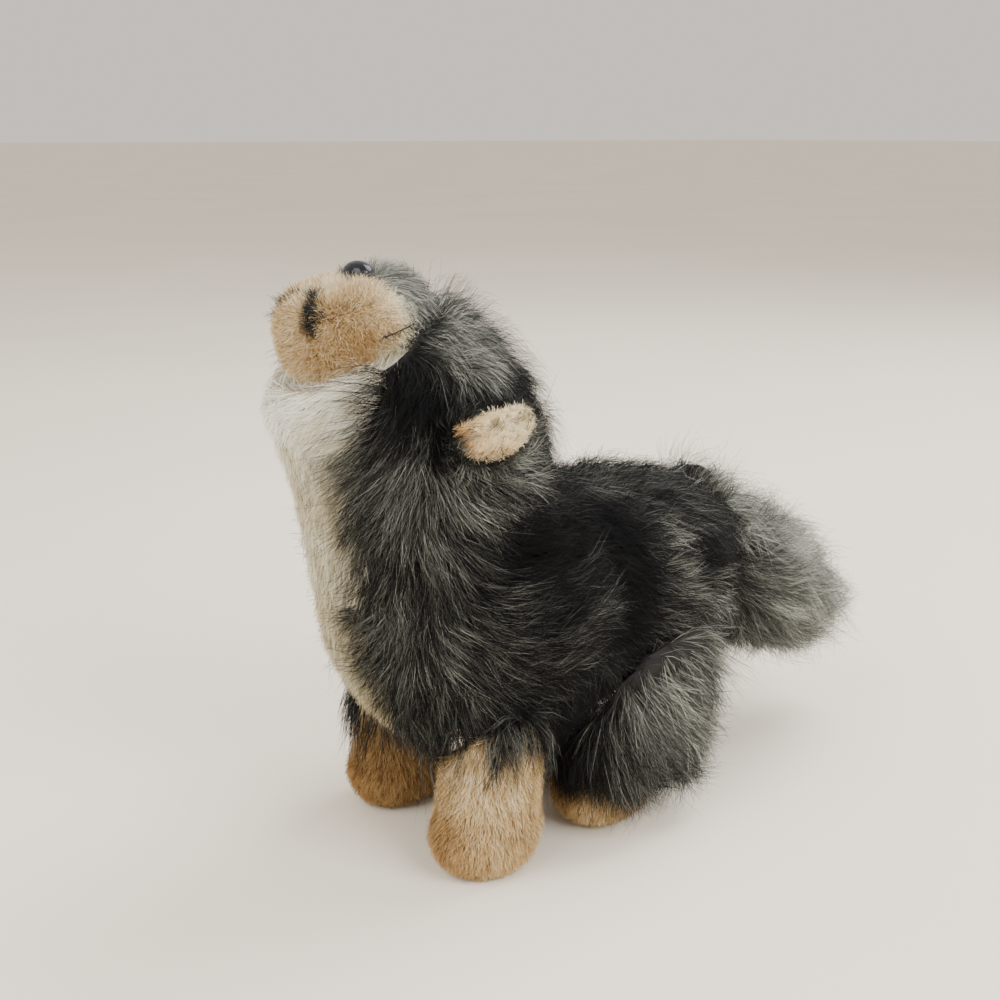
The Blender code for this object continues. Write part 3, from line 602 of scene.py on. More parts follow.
def dress(pieceName, nodeNames, skin, material, guides, settings, depth=None, cover=None):
    # Grows the strands of one piece and makes them a plain mesh
    skin = skin.copy()
    places = placesOf(skin)
    flow, values = combed(places, guides)
    paint(skin, "outward", outwardOf(skin))
    paint(skin, "flow", flow)
    paint(skin, "hairLength", values[:, 0] * mm)
    paint(skin, "tipHeight", values[:, 1] * mm)
    paint(skin, "tone", values[:, 2] + settings.get("toneShift", 0.0))
    paint(skin, "pileDepth", pileDepths(places, depth, skinRules["hairShare"], skinRules["hairLimit"]))
    paint(skin, "cover", np.ones(len(places)) if cover is None else cover)
    made = newObject(pieceName, skin)
    modifier = made.modifiers.new("strands", "NODES")
    modifier.node_group = pileTree
    given = {**pileInputs, **settings, "pile": material}
    for item in pileTree.interface.items_tree:
        if item.in_out == "INPUT" and item.name in given:
            modifier[item.identifier] = given[item.name]
    graph = bpy.context.evaluated_depsgraph_get()
    strands = bpy.data.meshes.new_from_object(made.evaluated_get(graph), depsgraph=graph)
    made.modifiers.clear()
    made.data = strands
    strands.name = pieceName
    for name in [attribute.name for attribute in strands.attributes]:
        if name.startswith("hair") or name in ("outward", "flow", "tipHeight", "tone", "pileDepth", "cover"):
            strands.attributes.remove(strands.attributes[name])
    trim(strands)
    strands.shade_smooth()
    settle(made, nodeNames)
    grown[pieceName] = len(strands.polygons) * 2


grown = {}


def backing(pieceName, skin, material, depth=None):
    # The knitted cloth that the pile is rooted in, one pile below the outside
    cloth = skin.copy()
    cloth.name = pieceName
    places = placesOf(cloth)
    deep = pileDepths(places, depth, skinRules["clothShare"], skinRules["clothLimit"])
    places -= outwardOf(cloth) * deep[:, None]
    cloth.vertices.foreach_set("co", places.ravel())
    made = newObject(pieceName, cloth)
    wall = made.modifiers.new("cloth", "SOLIDIFY")
    wall.thickness = skinRules["clothThickness"]
    wall.offset = -1
    cloth.materials.append(material)
    settle(made)


# Comb marks on the left side, lengths in millimetres: x, y and z of the place, x, y and z of the way the hair
# lies there, its length, how far its tip stands above the skin, and its tone
crownComb = [
    (0, -66, 164, 0, 0.6, 0.7, 9, 4, 0.7),
    (10, -63, 161, 0.2, 0.6, 0.7, 10, 4.5, 0.8),
    (0, -50, 157, 0, 0.9, 0.1, 12, 1.5, 0.68),
    (13, -53, 156, 0.2, 0.8, 0.1, 12, 1.5, 0.72),
    (12, -45, 149, 0.2, 0.7, -0.3, 12, 0.5, 0.4),
    (18, -43, 141, 0.2, 0.7, -0.4, 12, -0.5, 0.2),
    (0, -33, 135, 0, 0.5, -0.9, 13, 0, 0.35),
    (24, -44, 130, 0.1, 0.6, -0.8, 13, -1.5, 0.3),
    (23, -75, 157, 0.4, 0.6, -0.3, 9, 0, 0.45),
    (23, -67, 155, 0.5, 0.75, -0.3, 11, 0, 0.96),
    (25, -62, 151, 0.4, 0.6, -0.7, 11, 0, 0.92),
    (27, -60, 144, 0.1, 0.1, -1, 11, -1, 0.1),
    (24, -52, 148, 0.2, 0.5, -0.7, 11, -0.5, 0.48),
    (29, -66, 141, -0.1, -0.2, -1, 10, -1, 0.32),
]
cheekComb = [
    (25, -82, 152, -0.35, -0.5, -0.8, 11, 2.5, 0.1),
    (28, -78, 147, -0.2, -0.3, -0.9, 12, 1, 0.08),
    (30, -73, 141, 0, 0, -1, 11, 0, 0.12),
    (29, -81, 144, -0.3, -0.45, -0.8, 13, 0.5, 0.12),
    (26, -91, 143, -0.57, -0.82, 0.05, 17, 1.5, 0.36),
    (26, -92, 132, -0.5, -0.7, -0.45, 19, 1.5, 0.5),
    (28, -88, 123, -0.42, -0.6, -0.7, 19, 1, 0.54),
    (30, -82, 137, -0.3, -0.45, -0.8, 15, 0, 0.44),
    (31, -84, 126, -0.3, -0.4, -0.85, 16, 0.5, 0.54),
    (36, -75, 125, 0.5, 0.7, -0.4, 13, -0.5, 0.58),
    (35, -58, 120, 0.5, 0.75, -0.35, 15, -0.5, 0.8),
    (33, -50, 115, 0.5, 0.75, -0.4, 15, -0.5, 0.52),
    (32, -80, 119, -0.1, -0.1, -1, 16, 0, 0.52),
    (34, -68, 117, 0.4, 0.6, -0.6, 16, -0.5, 0.62),
]
shoulderComb = [
    (20, -97, 112, -0.35, -0.5, -0.8, 18, 1, 0.26),
    (20, -95, 105, -0.2, -0.3, -0.95, 19, 0.5, 0.52),
    (29, -88, 111, -0.1, -0.15, -1, 18, 0, 0.62),
    (33, -79, 111, 0.15, 0.2, -0.95, 17, 0, 0.5),
    (37, -62, 104, 0.5, 0.8, -0.1, 17, -1, -0.1),
    (38, -50, 102, 0.5, 0.82, 0.1, 17, -1, -0.1),
    (39, -42, 97, 0.5, 0.82, 0.2, 16, -1, 0.05),
    (31, -40, 112, 0.5, 0.82, 0, 15, -0.5, 0.22),
    (0, -33, 118, 0, 0.8, -0.3, 14, 1, 0.3),
    (35, -74, 100, 0.4, 0.6, -0.6, 17, -0.5, 0.32),
    (27, -88, 86, -0.05, -0.1, -1, 18, 0.5, 0.74),
    (31, -84, 95, -0.05, -0.1, -1, 18, 0, 0.4),
    (20, -92, 84, -0.5, -0.65, -0.6, 18, 1, 0.28),
    (20, -90, 73, -0.45, -0.6, -0.7, 18, 1, 0.36),
    (31, -82, 72, 0.1, 0.15, -1, 18, 0, 0.4),
    (35, -77, 78, 0.3, 0.4, -0.8, 17, 0, 0.32),
    (39, -64, 82, 0.55, 0.8, 0.2, 17, -0.5, 0.36),
    (41, -46, 84, 0.5, 0.8, 0.35, 17, -0.5, 0.3),
    (39, -55, 93, 0.5, 0.8, 0.2, 17, -1, 0.12),
    (40, -58, 63, 0.5, 0.8, -0.1, 17, 0, 0.36),
    (42, -46, 67, 0.5, 0.8, 0.15, 16, 0, 0.34),
    (22, -84, 55, -0.25, -0.2, -1, 23, 5, 0.36),
    (31, -75, 53, -0.1, 0.1, -1, 20, 2.5, 0.36),
    (38, -60, 51, 0, 0.2, -1, 17, 0.5, 0.3),
]
flankComb = [
    (41, -31, 81, 0.5, 0.8, 0.35, 16, -0.5, 0.46),
    (40, -36, 94, 0.5, 0.82, 0.2, 16, -0.5, 0.3),
    (42, -36, 71, 0.5, 0.8, 0.1, 16, 0, 0.34),
    (30, -19, 100, 0.4, 0.7, -0.4, 14, -1, -0.08),
    (37, -16, 88, 0.2, 0.6, -0.7, 14, -1, -0.1),
    (39, -20, 76, 0.3, 0.6, -0.4, 14, -0.5, 0.04),
    (0, -5, 105, 0, 0.9, 0.4, 14, 2.5, 0.5),
    (12, -8, 105, 0.1, 0.9, 0.3, 14, 2, 0.45),
    (22, -1, 101, 0.3, 0.85, 0.1, 15, 1, 0.36),
    (33, -3, 92, 0.4, 0.9, 0, 15, 0, 0.7),
    (35, 4, 85, 0.4, 0.9, 0, 15, 0, 0.74),
    (39, 1, 74, 0.4, 0.8, -0.2, 15, 0, 0.52),
    (40, -12, 68, 0.3, 0.6, -0.3, 15, 0, 0.4),
    (41, -31, 63, 0.2, 0.2, -1, 15, 0, 0.2),
    (40, -37, 52, 0, 0, -1, 15, 0.5, 0.12),
    (38, -6, 60, 0.3, 0.6, -0.8, 19, 2, 0.45),
    (33, 14, 86, 0.4, 0.9, -0.1, 14, -0.5, 0.02),
    (36, 16, 70, 0.3, 0.7, -0.5, 15, 0, 0.72),
    (30, 26, 66, -0.1, 0.7, -0.6, 15, 0.5, 0.5),
    (34, 14, 56, 0.2, 0.6, -0.85, 15, 0.5, 0.6),
    (0, 20, 103, 0, 0.9, 0.4, 14, 2.5, 0.42),
    (12, 28, 99, 0.1, 0.95, 0.2, 14, 2, 0.45),
    (0, 43, 85, 0, 0.7, -0.6, 13, 1, 0.25),
    (0, 42, 60, 0, 0.3, -0.95, 12, 0.5, 0.3),
    (20, 30, 45, 0, 0.4, -0.9, 13, 0.5, 0.3),
]
coatComb = crownComb + cheekComb + shoulderComb + flankComb
# On the right the front edge lies back, clear of the bib
rightFront = -83  # millimetres
rightComb = [(*mark[:3], 0.1, 1, -0.3, 7, -3, mark[8]) if mark[1] < rightFront else mark for mark in coatComb]

coatSettings = {**pileInputs, "slot": "coat"}
guardSettings = {
    **coatSettings, "density": 0.75e6, "hairWidth": 0.13 * mm, "segments": 3, "hairSpread": 0.4,
    "lockLift": 1.5 * mm, "tipSpread": 2.4 * mm, "lockPull": 0.3, "toneSpread": 0.18, "lockTone": 0.0,
    "toneNoise": 0.2, "curl": 0.1, "tipWidth": 0.1,
}
# The right side mirrors the left with fewer, wider strands
sideShare = {"left": 1.0, "right": 0.46}
headShare = {"fur": 1.25, "guards": 1.3, "width": 0.85}  # the head's hair against the body's


def styled(settings, seed, share=1.0, **changes):
    # One piece's settings; with a share below 1 it has fewer, wider strands
    settings = {**settings, "seed": seed, **changes}
    return {**settings, "density": settings["density"] * share, "hairWidth": settings["hairWidth"] / share ** 0.5}


def guardComb(marks, longer, higher, darker):
    # Sparse longer hairs that stand out of the coat
    return [(*way, length * longer, tip + higher, tone - darker) for *way, length, tip, tone in marks]


coats = ["body_coat_left", "body_coat_right", "head_coat_left", "head_coat_right"]
legs = ["front_leg_left", "front_leg_right", "hind_leg_left", "hind_leg_right"]
haunches = ["haunch_left", "haunch_right"]
face = ["muzzle_left", "muzzle_right", "bridge_strip", "lower_jaw"]


def others(names, *own):
    return [name for name in names if name not in own]


foreEnd = -40 * mm       # the body's hair is two pieces that meet here
undersideLimit = -0.75  # no long hair grows where the coat turns under
cheekReach = 0.4 * mm  # the head's hair starts this close to the muzzle and jaw


for seed, side in enumerate(("left", "right")):
    comb = coatComb if side == "left" else rightComb
    title = side.capitalize()
    bodyName, headName = f"body_coat_{side}", f"head_coat_{side}"
    backing(f"bodyCloth{title}", outerSkin(bodyName, cuts=0), darkCloth)
    backing(f"headCloth{title}", outerSkin(headName, cuts=0), darkCloth)
    bodySkin, headSkin = outerSkin(bodyName), outerSkin(headName)
    bodyOpen = openTo(bodySkin, *others(coats, bodyName), *haunches, *legs, "tail", "chest_bib", "belly_panel")
    headOpen = openTo(headSkin, *others(coats, headName), "chest_bib", f"ear_back_{side}")
    headOpen = headOpen * openTo(headSkin, *face, buried=cheekReach)
    bodyOpen = bodyOpen * (outwardOf(bodySkin)[:, 2] > undersideLimit)
    fore = (placesOf(bodySkin)[:, 1] < foreEnd).astype(float)
    settings = styled(coatSettings, 10 + seed, sideShare[side])
    guards = styled(guardSettings, 22 + seed, sideShare[side])
    crown = len(crownComb)
    wild = guardComb(comb[:crown], 1.25, 5.5, 0.3) + guardComb(comb[crown:], 1.3, 2.6, 0.42)
    dress(f"shoulderFur{title}", [bodyName], bodySkin, coatPile, comb, settings, cover=bodyOpen * fore)
    dress(f"flankFur{title}", [bodyName], bodySkin, coatPile, comb, styled(settings, 14 + seed),
          cover=bodyOpen * (1 - fore))
    dress(f"headFur{title}", [headName], headSkin, coatPile, comb,
          styled(settings, 18 + seed, density=settings["density"] * headShare["fur"]), cover=headOpen)
    dress(f"bodyGuard{title}", [], bodySkin, coatPile, wild, guards, cover=bodyOpen)
    finer = {"density": guards["density"] * headShare["guards"], "hairWidth": guards["hairWidth"] * headShare["width"]}
    dress(f"headGuard{title}", [], headSkin, coatPile, wild, styled(guards, 24 + seed, **finer), cover=headOpen)
print("coat combed")


# Haunches: the thigh's long hair fans out over the paws
haunchComb = [
    (41, -31, 60, 0.1, 0.1, -1, 15, 0, 0.18),
    (40, -22, 48, 0.1, 0.15, -1, 17, 0.5, 0.46),
    (44, -14, 41, 0.4, 0.5, -0.8, 18, 0.5, 0.66),
    (43, -10, 49, 0.5, 0.7, -0.6, 18, 0, 0.74),
    (31, -33, 35, 0, 0, -1, 14, 0.5, 0.14),
    (38, -28, 36, 0.1, 0.1, -1, 15, 0.5, 0.3),
    (44, -21, 30, 0.2, 0.3, -1, 15, 0.5, 0.46),
    (38, 6, 40, 0.1, 0.7, -0.7, 17, 1.5, 0.76),
    (36, 14, 28, 0, 0.7, -0.7, 17, 2.5, 0.66),
    (25, 12, 25, -0.2, 0.4, -0.85, 13, 0, 0.3),
    (25, -25, 20, -0.2, 0, -1, 10, 0, 0.15),
]
haunchDepth = 4.5 * mm
# Haunches and tail keep their hair a little way into the body, which covers the seams
haunchReach = -4.0 * mm
tailReach = -2.0 * mm


facing = {"gain": 1.6, "edge": 0.4}


def facingOut(skin):
    # 1 on the side that looks away from the body, 0 on the edges and the inner side
    return np.clip(outwardOf(skin)[:, 0] * np.sign(placesOf(skin)[:, 0]) * facing["gain"] - facing["edge"], 0, 1)


for seed, side in enumerate(("left", "right")):
    title = side.capitalize()
    nodeName = f"haunch_{side}"
    skin = outerSkin(nodeName, whole=True)
    room = openTo(skin, f"hind_leg_{side}", "belly_panel") * openTo(skin, f"body_coat_{side}", buried=haunchReach)
    clothSkin = outerSkin(nodeName, whole=True, cuts=0)
    backing(f"haunchCloth{title}", clothSkin, darkCloth, 0.5 * mm + haunchDepth * facingOut(clothSkin))
    depth = haunchDepth * facingOut(skin)
    settings = styled(coatSettings, 30 + seed, sideShare[side], bodyRadius=70 * mm, lockSpread=0.24)
    guards = styled(guardSettings, 34 + seed, sideShare[side], bodyRadius=70 * mm)
    dress(f"haunchFur{title}", [nodeName], skin, coatPile, haunchComb, settings, depth, room)
    dress(f"haunchGuard{title}", [], skin, coatPile, guardComb(haunchComb, 1.2, 2.5, 0.25), guards, depth, room)

# Tail: bushy, paler than the coat, with dark patches below and near the root
tailComb = [
    (0, 38, 98, 0, 0.9, 0.4, 18, 4.5, 0.45),
    (0, 58, 90, 0, 0.9, 0.5, 19, 7, 0.74),
    (0, 85, 75, 0, 0.9, 0.4, 19, 6.5, 0.8),
    (0, 106, 47, 0, 0.85, 0, 16, 4, 0.72),
    (15, 49, 84, 0.4, 0.8, 0.4, 19, 4, 0.66),
    (20, 46, 76, 0.3, 0.85, -0.2, 19, -0.5, 0.1),
    (20, 56, 70, 0.4, 0.8, -0.2, 19, 1, 0.6),
    (17, 76, 66, 0.4, 0.85, 0, 18, 2, 0.78),
    (16, 80, 50, 0.3, 0.8, -0.4, 18, 2, 0.66),
    (14, 95, 48, 0.2, 0.85, -0.3, 16, 2, 0.64),
    (15, 49, 53, 0.1, 0.3, -0.95, 20, 4, 0.28),
    (18, 58, 52, 0.2, 0.5, -0.8, 20, 3, 0.52),
    (0, 48, 52, 0, 0.2, -0.95, 20, 5, 0.25),
    (0, 75, 38, 0, 0.6, -0.8, 19, 5, 0.56),
    (0, 95, 34, 0, 0.8, -0.5, 17, 3.5, 0.58),
]
tailSettings = {"slot": "tail_coat", "bodyRadius": 60 * mm, "lockSpread": 0.6, "lockLift": 3.5 * mm,
                "lockDensity": 35000.0, "lockTone": 0.2, "toneShift": 0.13, "droop": 0.05, "lockPull": 0.75}
backing("tailCloth", outerSkin("tail", cuts=0), darkCloth)
skin = outerSkin("tail")
room = openTo(skin, "body_coat_left", "body_coat_right", buried=tailReach)
dress("tailFur", ["tail"], skin, coatPile, tailComb, styled({**coatSettings, **tailSettings}, 40, density=1.9e6),
      cover=room)
dress("tailGuard", [], skin, coatPile, guardComb(tailComb, 1.15, 3.0, 0.18),
      styled({**guardSettings, **tailSettings}, 41, lockPull=0.4, lockTone=0.0, density=0.5e6), cover=room)
print("haunches and tail combed")


# Cream bib and belly
bibComb = [
    (26, -88, 146, -0.5, -0.8, -0.2, 9, 0.5, 0.7),
    (12, -99, 148, -0.4, -0.8, -0.2, 9, 0.5, 1.25),
    (0, -107, 140, 0, -0.9, -0.1, 10, 1.5, 1.15),
    (20, -99, 139, -0.4, -0.6, -0.6, 10, 0.5, 0.62),
    (0, -106, 132, 0, -0.5, -0.8, 10, 0.5, 0.5),
    (0, -105, 120, 0, -0.15, -1, 10, 0, 0.5),
    (18, -98, 122, -0.2, -0.3, -0.9, 10, 0, 0.35),
    (10, -101, 100, -0.1, -0.1, -1, 10, 0, 0.52),
    (0, -95, 70, 0, 0, -1, 10, 0, 0.28),
    (8, -85, 45, 0, 0.2, -1, 10, 0, -0.05),
    (10, -93, 62, 0, 0, -1, 10, 0, 0.15),
    (0, -50, 28, 0, 1, 0, 7, 0, -0.4),
    (0, 30, 40, 0, 1, 0.3, 7, 0, -0.2),
]
bibSettings = {
    "slot": "cream", "density": 3.3e6, "hairWidth": 0.2 * mm, "segments": 2, "lengthSpread": 0.25,
    "hairSpread": 0.25, "lockSpread": 0.28, "lockLift": 0.8 * mm, "tipSpread": 0.7 * mm, "lockPull": 0.55,
    "lockDensity": 90000.0, "curl": 0.05, "droop": 0.02, "bodyRadius": 40 * mm, "toneSpread": 0.16,
    "lockTone": 0.12, "toneNoise": 0.35, "toneScale": 70.0,
}
bellyEdge = 26 * mm
for seed, (pieceName, nodeName, share) in enumerate((("bib", "chest_bib", 1.0), ("belly", "belly_panel", 0.18))):
    backing(f"{pieceName}Cloth", outerSkin(nodeName, cuts=0), creamCloth)
    skin = outerSkin(nodeName)
    room = openTo(skin, *coats, *legs, *haunches)
    if nodeName == "belly_panel":
        room = room * (np.abs(placesOf(skin)[:, 0]) < bellyEdge)
    dress(f"{pieceName}Fur", [nodeName], skin, creamPile, bibComb, styled(bibSettings, 45 + seed, share), cover=room)


# Round the face the filling shows between the muzzle and the coat: cream ruff below the eye, dark brow above
coverTree = nodeTree(*coats, *face, "chest_bib", "nose")
liningTree = nodeTree("mouth_lining_left", "mouth_lining_right")
coatTree = nodeTree(*coats)
coatClear = 2.5 * mm  # the coat's own hair covers the filling this near to it
ringReach = 6 * mm    # the filling is bare where no cover lies this near above it
mouthClear = 9 * mm   # and no ruff grows this near the mouth
ruffDepth = 0.3 * mm
ruffComb = [
    (18, -82, 156, 0.1, -0.3, -0.8, 8, 4, 0.4),
    (18, -88, 152, -0.2, -0.6, -0.5, 10, 4, 0.55),
    (14, -95, 149, -0.3, -0.8, -0.4, 9, 2, 1),
    (0, -100, 145, 0, -0.9, -0.4, 8, 1.5, 1.1),
]
browComb = [
    (0, -66, 164, 0, 0.7, 0.6, 9, 6, 0.55),
    (16, -70, 161, 0.4, 0.7, 0.2, 10, 5, 0.5),
    (18, -77, 159, 0.5, 0.5, -0.3, 9, 4.5, 0.35),
]
faceFloor = {"skin": 0.125, "hair": 0.13, "lift": 0.0002}  # metres
faceSkin = outerSkin("head_stuffing", whole=True, cuts=3, above=faceFloor["skin"])
facePlaces, faceOut = placesOf(faceSkin), outwardOf(faceSkin)
faceOpen = np.array([
    coverTree.ray_cast(Vector(place + out * faceFloor["lift"]), Vector(out), ringReach)[0] is None
    and place[2] > faceFloor["hair"]
    and liningTree.find_nearest(Vector(place))[3] > mouthClear
    and coatTree.find_nearest(Vector(place))[3] > coatClear
    for place, out in zip(facePlaces, faceOut)
], dtype=float)
upper = (facePlaces[:, 1] > eyeY).astype(float)
dress("ruffFur", [], faceSkin, creamPile, ruffComb,
      styled(bibSettings, 48, density=10.0e6, hairWidth=0.15 * mm, tipSpread=1.0 * mm, hairSpread=0.9, toneSpread=0.35),
      ruffDepth, faceOpen * (1 - upper))
dress("browFur", [], faceSkin, coatPile, browComb,
      styled(coatSettings, 49, density=12.0e6, hairWidth=0.16 * mm, lockDensity=200000.0),
      ruffDepth, faceOpen * upper)
print("ruff grown")


# Muzzle and jaw: short tan pile in front, dark hair from the bridge over the back
muzzleComb = [
    (0, -92, 170, 0, -0.3, 0.4, 4, 1.6, 0.95),
    (6, -95, 169, 0.1, 0.1, 0.4, 3.6, 1, 0.72),
    (12, -93, 165, 0.2, 0.6, -0.5, 3.6, 0.5, 0.34),
    (13, -89, 168, 0.3, 0.6, -0.1, 3.6, 0.5, 0.56),
    (17, -83, 166, 0.3, 0.8, 0.1, 4, 0.6, 1.05),
    (19, -79, 163, 0.3, 0.8, 0, 4, 0.6, 1.4),
    (19, -82, 160, 0.1, 0.7, -0.3, 4, 0.6, 0.95),
    (19, -86, 160, 0.1, 0.7, -0.5, 3.6, 0.3, 0.3),
    (17, -92, 157, 0.1, 0.4, -0.8, 3.6, 0.3, 0),
    (14, -100, 158, 0.1, 0.1, -0.9, 3.6, 0.3, 0.4),
    (16, -94, 150, 0, 0.3, -0.9, 3.6, 0.3, 0.2),
    (0, -104, 160, 0, -0.2, -0.9, 3.6, 0.3, 0.6),
    (0, -103, 150, 0, 0.2, -0.9, 3.6, 0.3, 0.52),
]
shortSettings = {
    "slot": "tan", "density": 20.0e6, "hairWidth": 0.15 * mm, "segments": 1, "lengthSpread": 0.35,
    "hairSpread": 1.6, "lockSpread": 1.0, "lockLift": 0.3 * mm, "tipSpread": 0.5 * mm, "lockPull": 0.4,
    "lockDensity": 900000.0, "curl": 0.0, "droop": 0.0, "bodyRadius": 20 * mm, "toneSpread": 0.38,
    "lockTone": 0.15, "toneNoise": 0.4, "toneScale": 160.0, "tipWidth": 0.35,
}
slitWidth = {"cheek": 0.9 * mm, "chin": 2.4 * mm}
slitLine = {"way": (0.57, 0.82), "height": (159.1 * mm, 166.2 * mm), "across": (-77.0 * mm, -79.2 * mm)}
tanEdge = {"height": (159.5, 162.9, 166.2, 169.1, 171.5), "y": (-77.2, -77.8, -80.6, -83.3, -85.5)}


def awayFromMouth(places):
    # The cheek's pile reaches the slit; on the chin's side of it there is room for the dark fuzz
    gaps = np.array([liningTree.find_nearest(Vector(place))[3] for place in places])
    across = slitLine["way"][0] * np.abs(places[:, 0]) + slitLine["way"][1] * places[:, 1]
    line = np.interp(places[:, 2], slitLine["height"], slitLine["across"])
    return (gaps > np.where(across > line, slitWidth["cheek"], slitWidth["chin"])).astype(float)


def tanPart(places):
    return (places[:, 1] / mm < np.interp(places[:, 2] / mm, tanEdge["height"], tanEdge["y"])).astype(float)


bridgeComb = [
    (0, -92, 169, 0, 0.6, 0.3, 2.5, 0, 0.5),
    (0, -86, 171, 0, 0.7, 0.5, 4, 1.5, 0.6),
    (5, -86, 171, 0.3, 0.8, 0.1, 5, 1.5, 0.66),
    (8, -84, 171, 0.3, 0.8, -0.2, 7, 0.8, 0.74),
    (0, -79, 171, 0, 0.6, 0.8, 8, 4.5, 0.84),
    (6, -79, 171, 0.2, 0.6, 0.6, 8, 3, 0.84),
    (16, -81, 168, 0.4, 0.6, -0.5, 8, 0.5, 0.76),
    (12, -73, 167, 0.3, 0.8, -0.1, 9, 1.5, 0.76),
    (19, -76, 162, 0.4, 0.6, -0.5, 8, 0.5, 0.35),
    (0, -68, 165, 0, 0.8, 0.5, 9, 4, 0.6),
]
bridgeSettings = {
    **coatSettings, "density": 7.0e6, "bodyRadius": 30 * mm, "lockDensity": 250000.0,
    "lockLift": 0.8 * mm, "tipSpread": 1.2 * mm, "hairWidth": 0.16 * mm,
}
noseFront = -86.5 * mm  # ahead of here the strip wears the muzzle's pale pile
for seed, (pieceName, nodeName, share) in enumerate((
    ("muzzleLeft", "muzzle_left", 1.0), ("muzzleRight", "muzzle_right", 0.7), ("jaw", "lower_jaw", 0.8),
)):
    backing(f"{pieceName}Cloth", outerSkin(nodeName, cuts=0), tanCloth)
    skin = outerSkin(nodeName, cuts=2)
    places = placesOf(skin)
    tan = tanPart(places)
    dress(f"{pieceName}Pile", [nodeName], skin, tanPile, muzzleComb, styled(shortSettings, 50 + seed, share),
          cover=tan * awayFromMouth(places))
    if pieceName != "jaw":
        dress(f"{pieceName}Brow", [], skin, coatPile, bridgeComb, styled(bridgeSettings, 54 + seed, share),
              cover=1 - tan)
backing("bridgeCloth", outerSkin("bridge_strip", cuts=0), darkCloth)
skin = outerSkin("bridge_strip")
room = openTo(skin, "nose")
ahead = (placesOf(skin)[:, 1] < noseFront).astype(float)
dress("bridgeFur", ["bridge_strip"], skin, coatPile, bridgeComb, styled(bridgeSettings, 70), cover=room * (1 - ahead))
dress("bridgePile", [], skin, tanPile, muzzleComb, styled(shortSettings, 71), cover=room * ahead)

# The mouth lining's near-black cloth and dark fuzz are its own dark colour and also painted shade: they stand in for
# the shadow inside the slit
mouthComb = [
    (12, -102, 160, -0.57, -0.82, -0.6, 4.2, 0.7, 0.34),
    (9, -102, 164, -0.57, -0.82, -0.2, 4.2, 0.7, 0.38),
    (4, -99, 167, -0.3, -0.4, 0.9, 4, 1.2, 0.42),
    (0, -97, 168, 0, -0.2, 1, 4.5, 1.2, 0.45),
]
mouthNodes = ["mouth_lining_left", "mouth_lining_right"]
backing("mouthCloth", outerSkin(mouthNodes, whole=True, cuts=0), darkCloth, 0.0)
mouthSkin = outerSkin(mouthNodes, whole=True)
farFuzz = 0.3  # share of the fuzz on the far side
dress("mouthPile", mouthNodes, mouthSkin, coatPile, mouthComb,
      styled(shortSettings, 75, slot="thread", density=26.0e6, hairWidth=0.14 * mm, hairSpread=0.5,
             toneSpread=0.15, toneNoise=0.0, lockTone=0.0), depth=0.1 * mm,
      cover=np.where(placesOf(mouthSkin)[:, 0] < 0, farFuzz, 1.0))
print("muzzle, bridge and mouth done")


# Legs: short pile like velvet, with the coat's hem hanging over their tops
# The low tones on the legs' inner sides and on the paws' low front are painted shade, where shade falls between and
# under the legs
legComb = [
    (30, -60, 50, 0, 0.05, -1, 4.5, 0.5, 0.45),
    (33, -72, 38, 0, 0, -1, 4.5, 0.5, 0.62),
    (38, -67, 28, 0.05, -0.05, -1, 4.5, 0.4, 0.58),
    (25, -77, 12, 0, -0.3, -1, 4.2, 0.3, 0.1),
    (36, -58, 8, 0.2, 0, -1, 4.2, 0.3, 0.4),
    (12, -60, 25, 0, 0, -1, 4.2, 0.4, 0.25),
    (25, -58, 0, 0, -1, 0, 3, -0.9, 0.4),
    (32, -26, 13, 0.1, -0.1, -1, 4.2, 0.4, 0.52),
    (22, -31, 14, 0, -0.3, -1, 4.2, 0.4, 0.2),
    (22, -12, 0, 0, -1, 0, 3, -0.9, 0.4),
]
hemComb = [
    (24, -77, 46, -0.35, -0.45, -0.8, 19, 5, 0.34),
    (31, -74, 47, -0.1, -0.1, -1, 13, 3.5, 0.34),
    (37, -64, 47, 0, 0, -1, 9, 3, 0.34),
    (39, -50, 45, 0, 0.1, -1, 12, 3, 0.3),
    (12, -62, 35, -0.1, 0, -1, 14, 3, 0.12),
    (22, -30, 25, 0, 0, -1, 10, 3, 0.15),
]
legSettings = {**shortSettings, "density": 5.8e6, "hairSpread": 0.45, "lockSpread": 0.35, "lockDensity": 250000.0,
               "lockPull": 0.35, "toneNoise": 0.35, "hairWidth": 0.18 * mm, "toneScale": 110.0, "toneSpread": 0.22,
               "lockTone": 0.12}
hemSettings = {**coatSettings, "density": 5.0e6, "lockDensity": 150000.0, "bodyRadius": 80 * mm}
hemWave = {"size": 1.6, "x": 0.8, "y": 1.1}  # the hem is ragged by this many millimetres
# The far front paw and the hind paws get a darker tone shift: painted shade under the body
for seed, (pieceName, nodeName, shift, share, hem) in enumerate((
    ("frontPawLeft", "front_leg_left", 0.0, 1.0, 46.5), ("frontPawRight", "front_leg_right", -0.15, 0.65, 33.0),
    ("hindPawLeft", "hind_leg_left", -0.05, 0.6, 24.0), ("hindPawRight", "hind_leg_right", -0.1, 0.6, 24.0),
)):
    cloth = clothMaterial(f"{pieceName}Knit", *tanKnit, hem * mm)
    backing(f"{pieceName}Cloth", outerSkin(nodeName, cuts=0), cloth)
    skin = outerSkin(nodeName)
    places = placesOf(skin)
    room = openTo(skin, *coats, "belly_panel", "chest_bib")
    ragged = hemWave["size"] * (np.sin(places[:, 0] / mm * hemWave["x"]) + np.sin(places[:, 1] / mm * hemWave["y"]))
    dark = (places[:, 2] / mm > hem + ragged).astype(float)
    settings = styled(legSettings, 60 + seed, share, toneShift=shift)
    dress(f"{pieceName}Pile", [nodeName], skin, tanPile, legComb, settings, cover=room * (1 - dark))
    dress(f"{pieceName}Hem", [], skin, coatPile, hemComb, styled(hemSettings, 64 + seed, share), depth=0.5 * mm,
          cover=room * dark)
print("legs done")


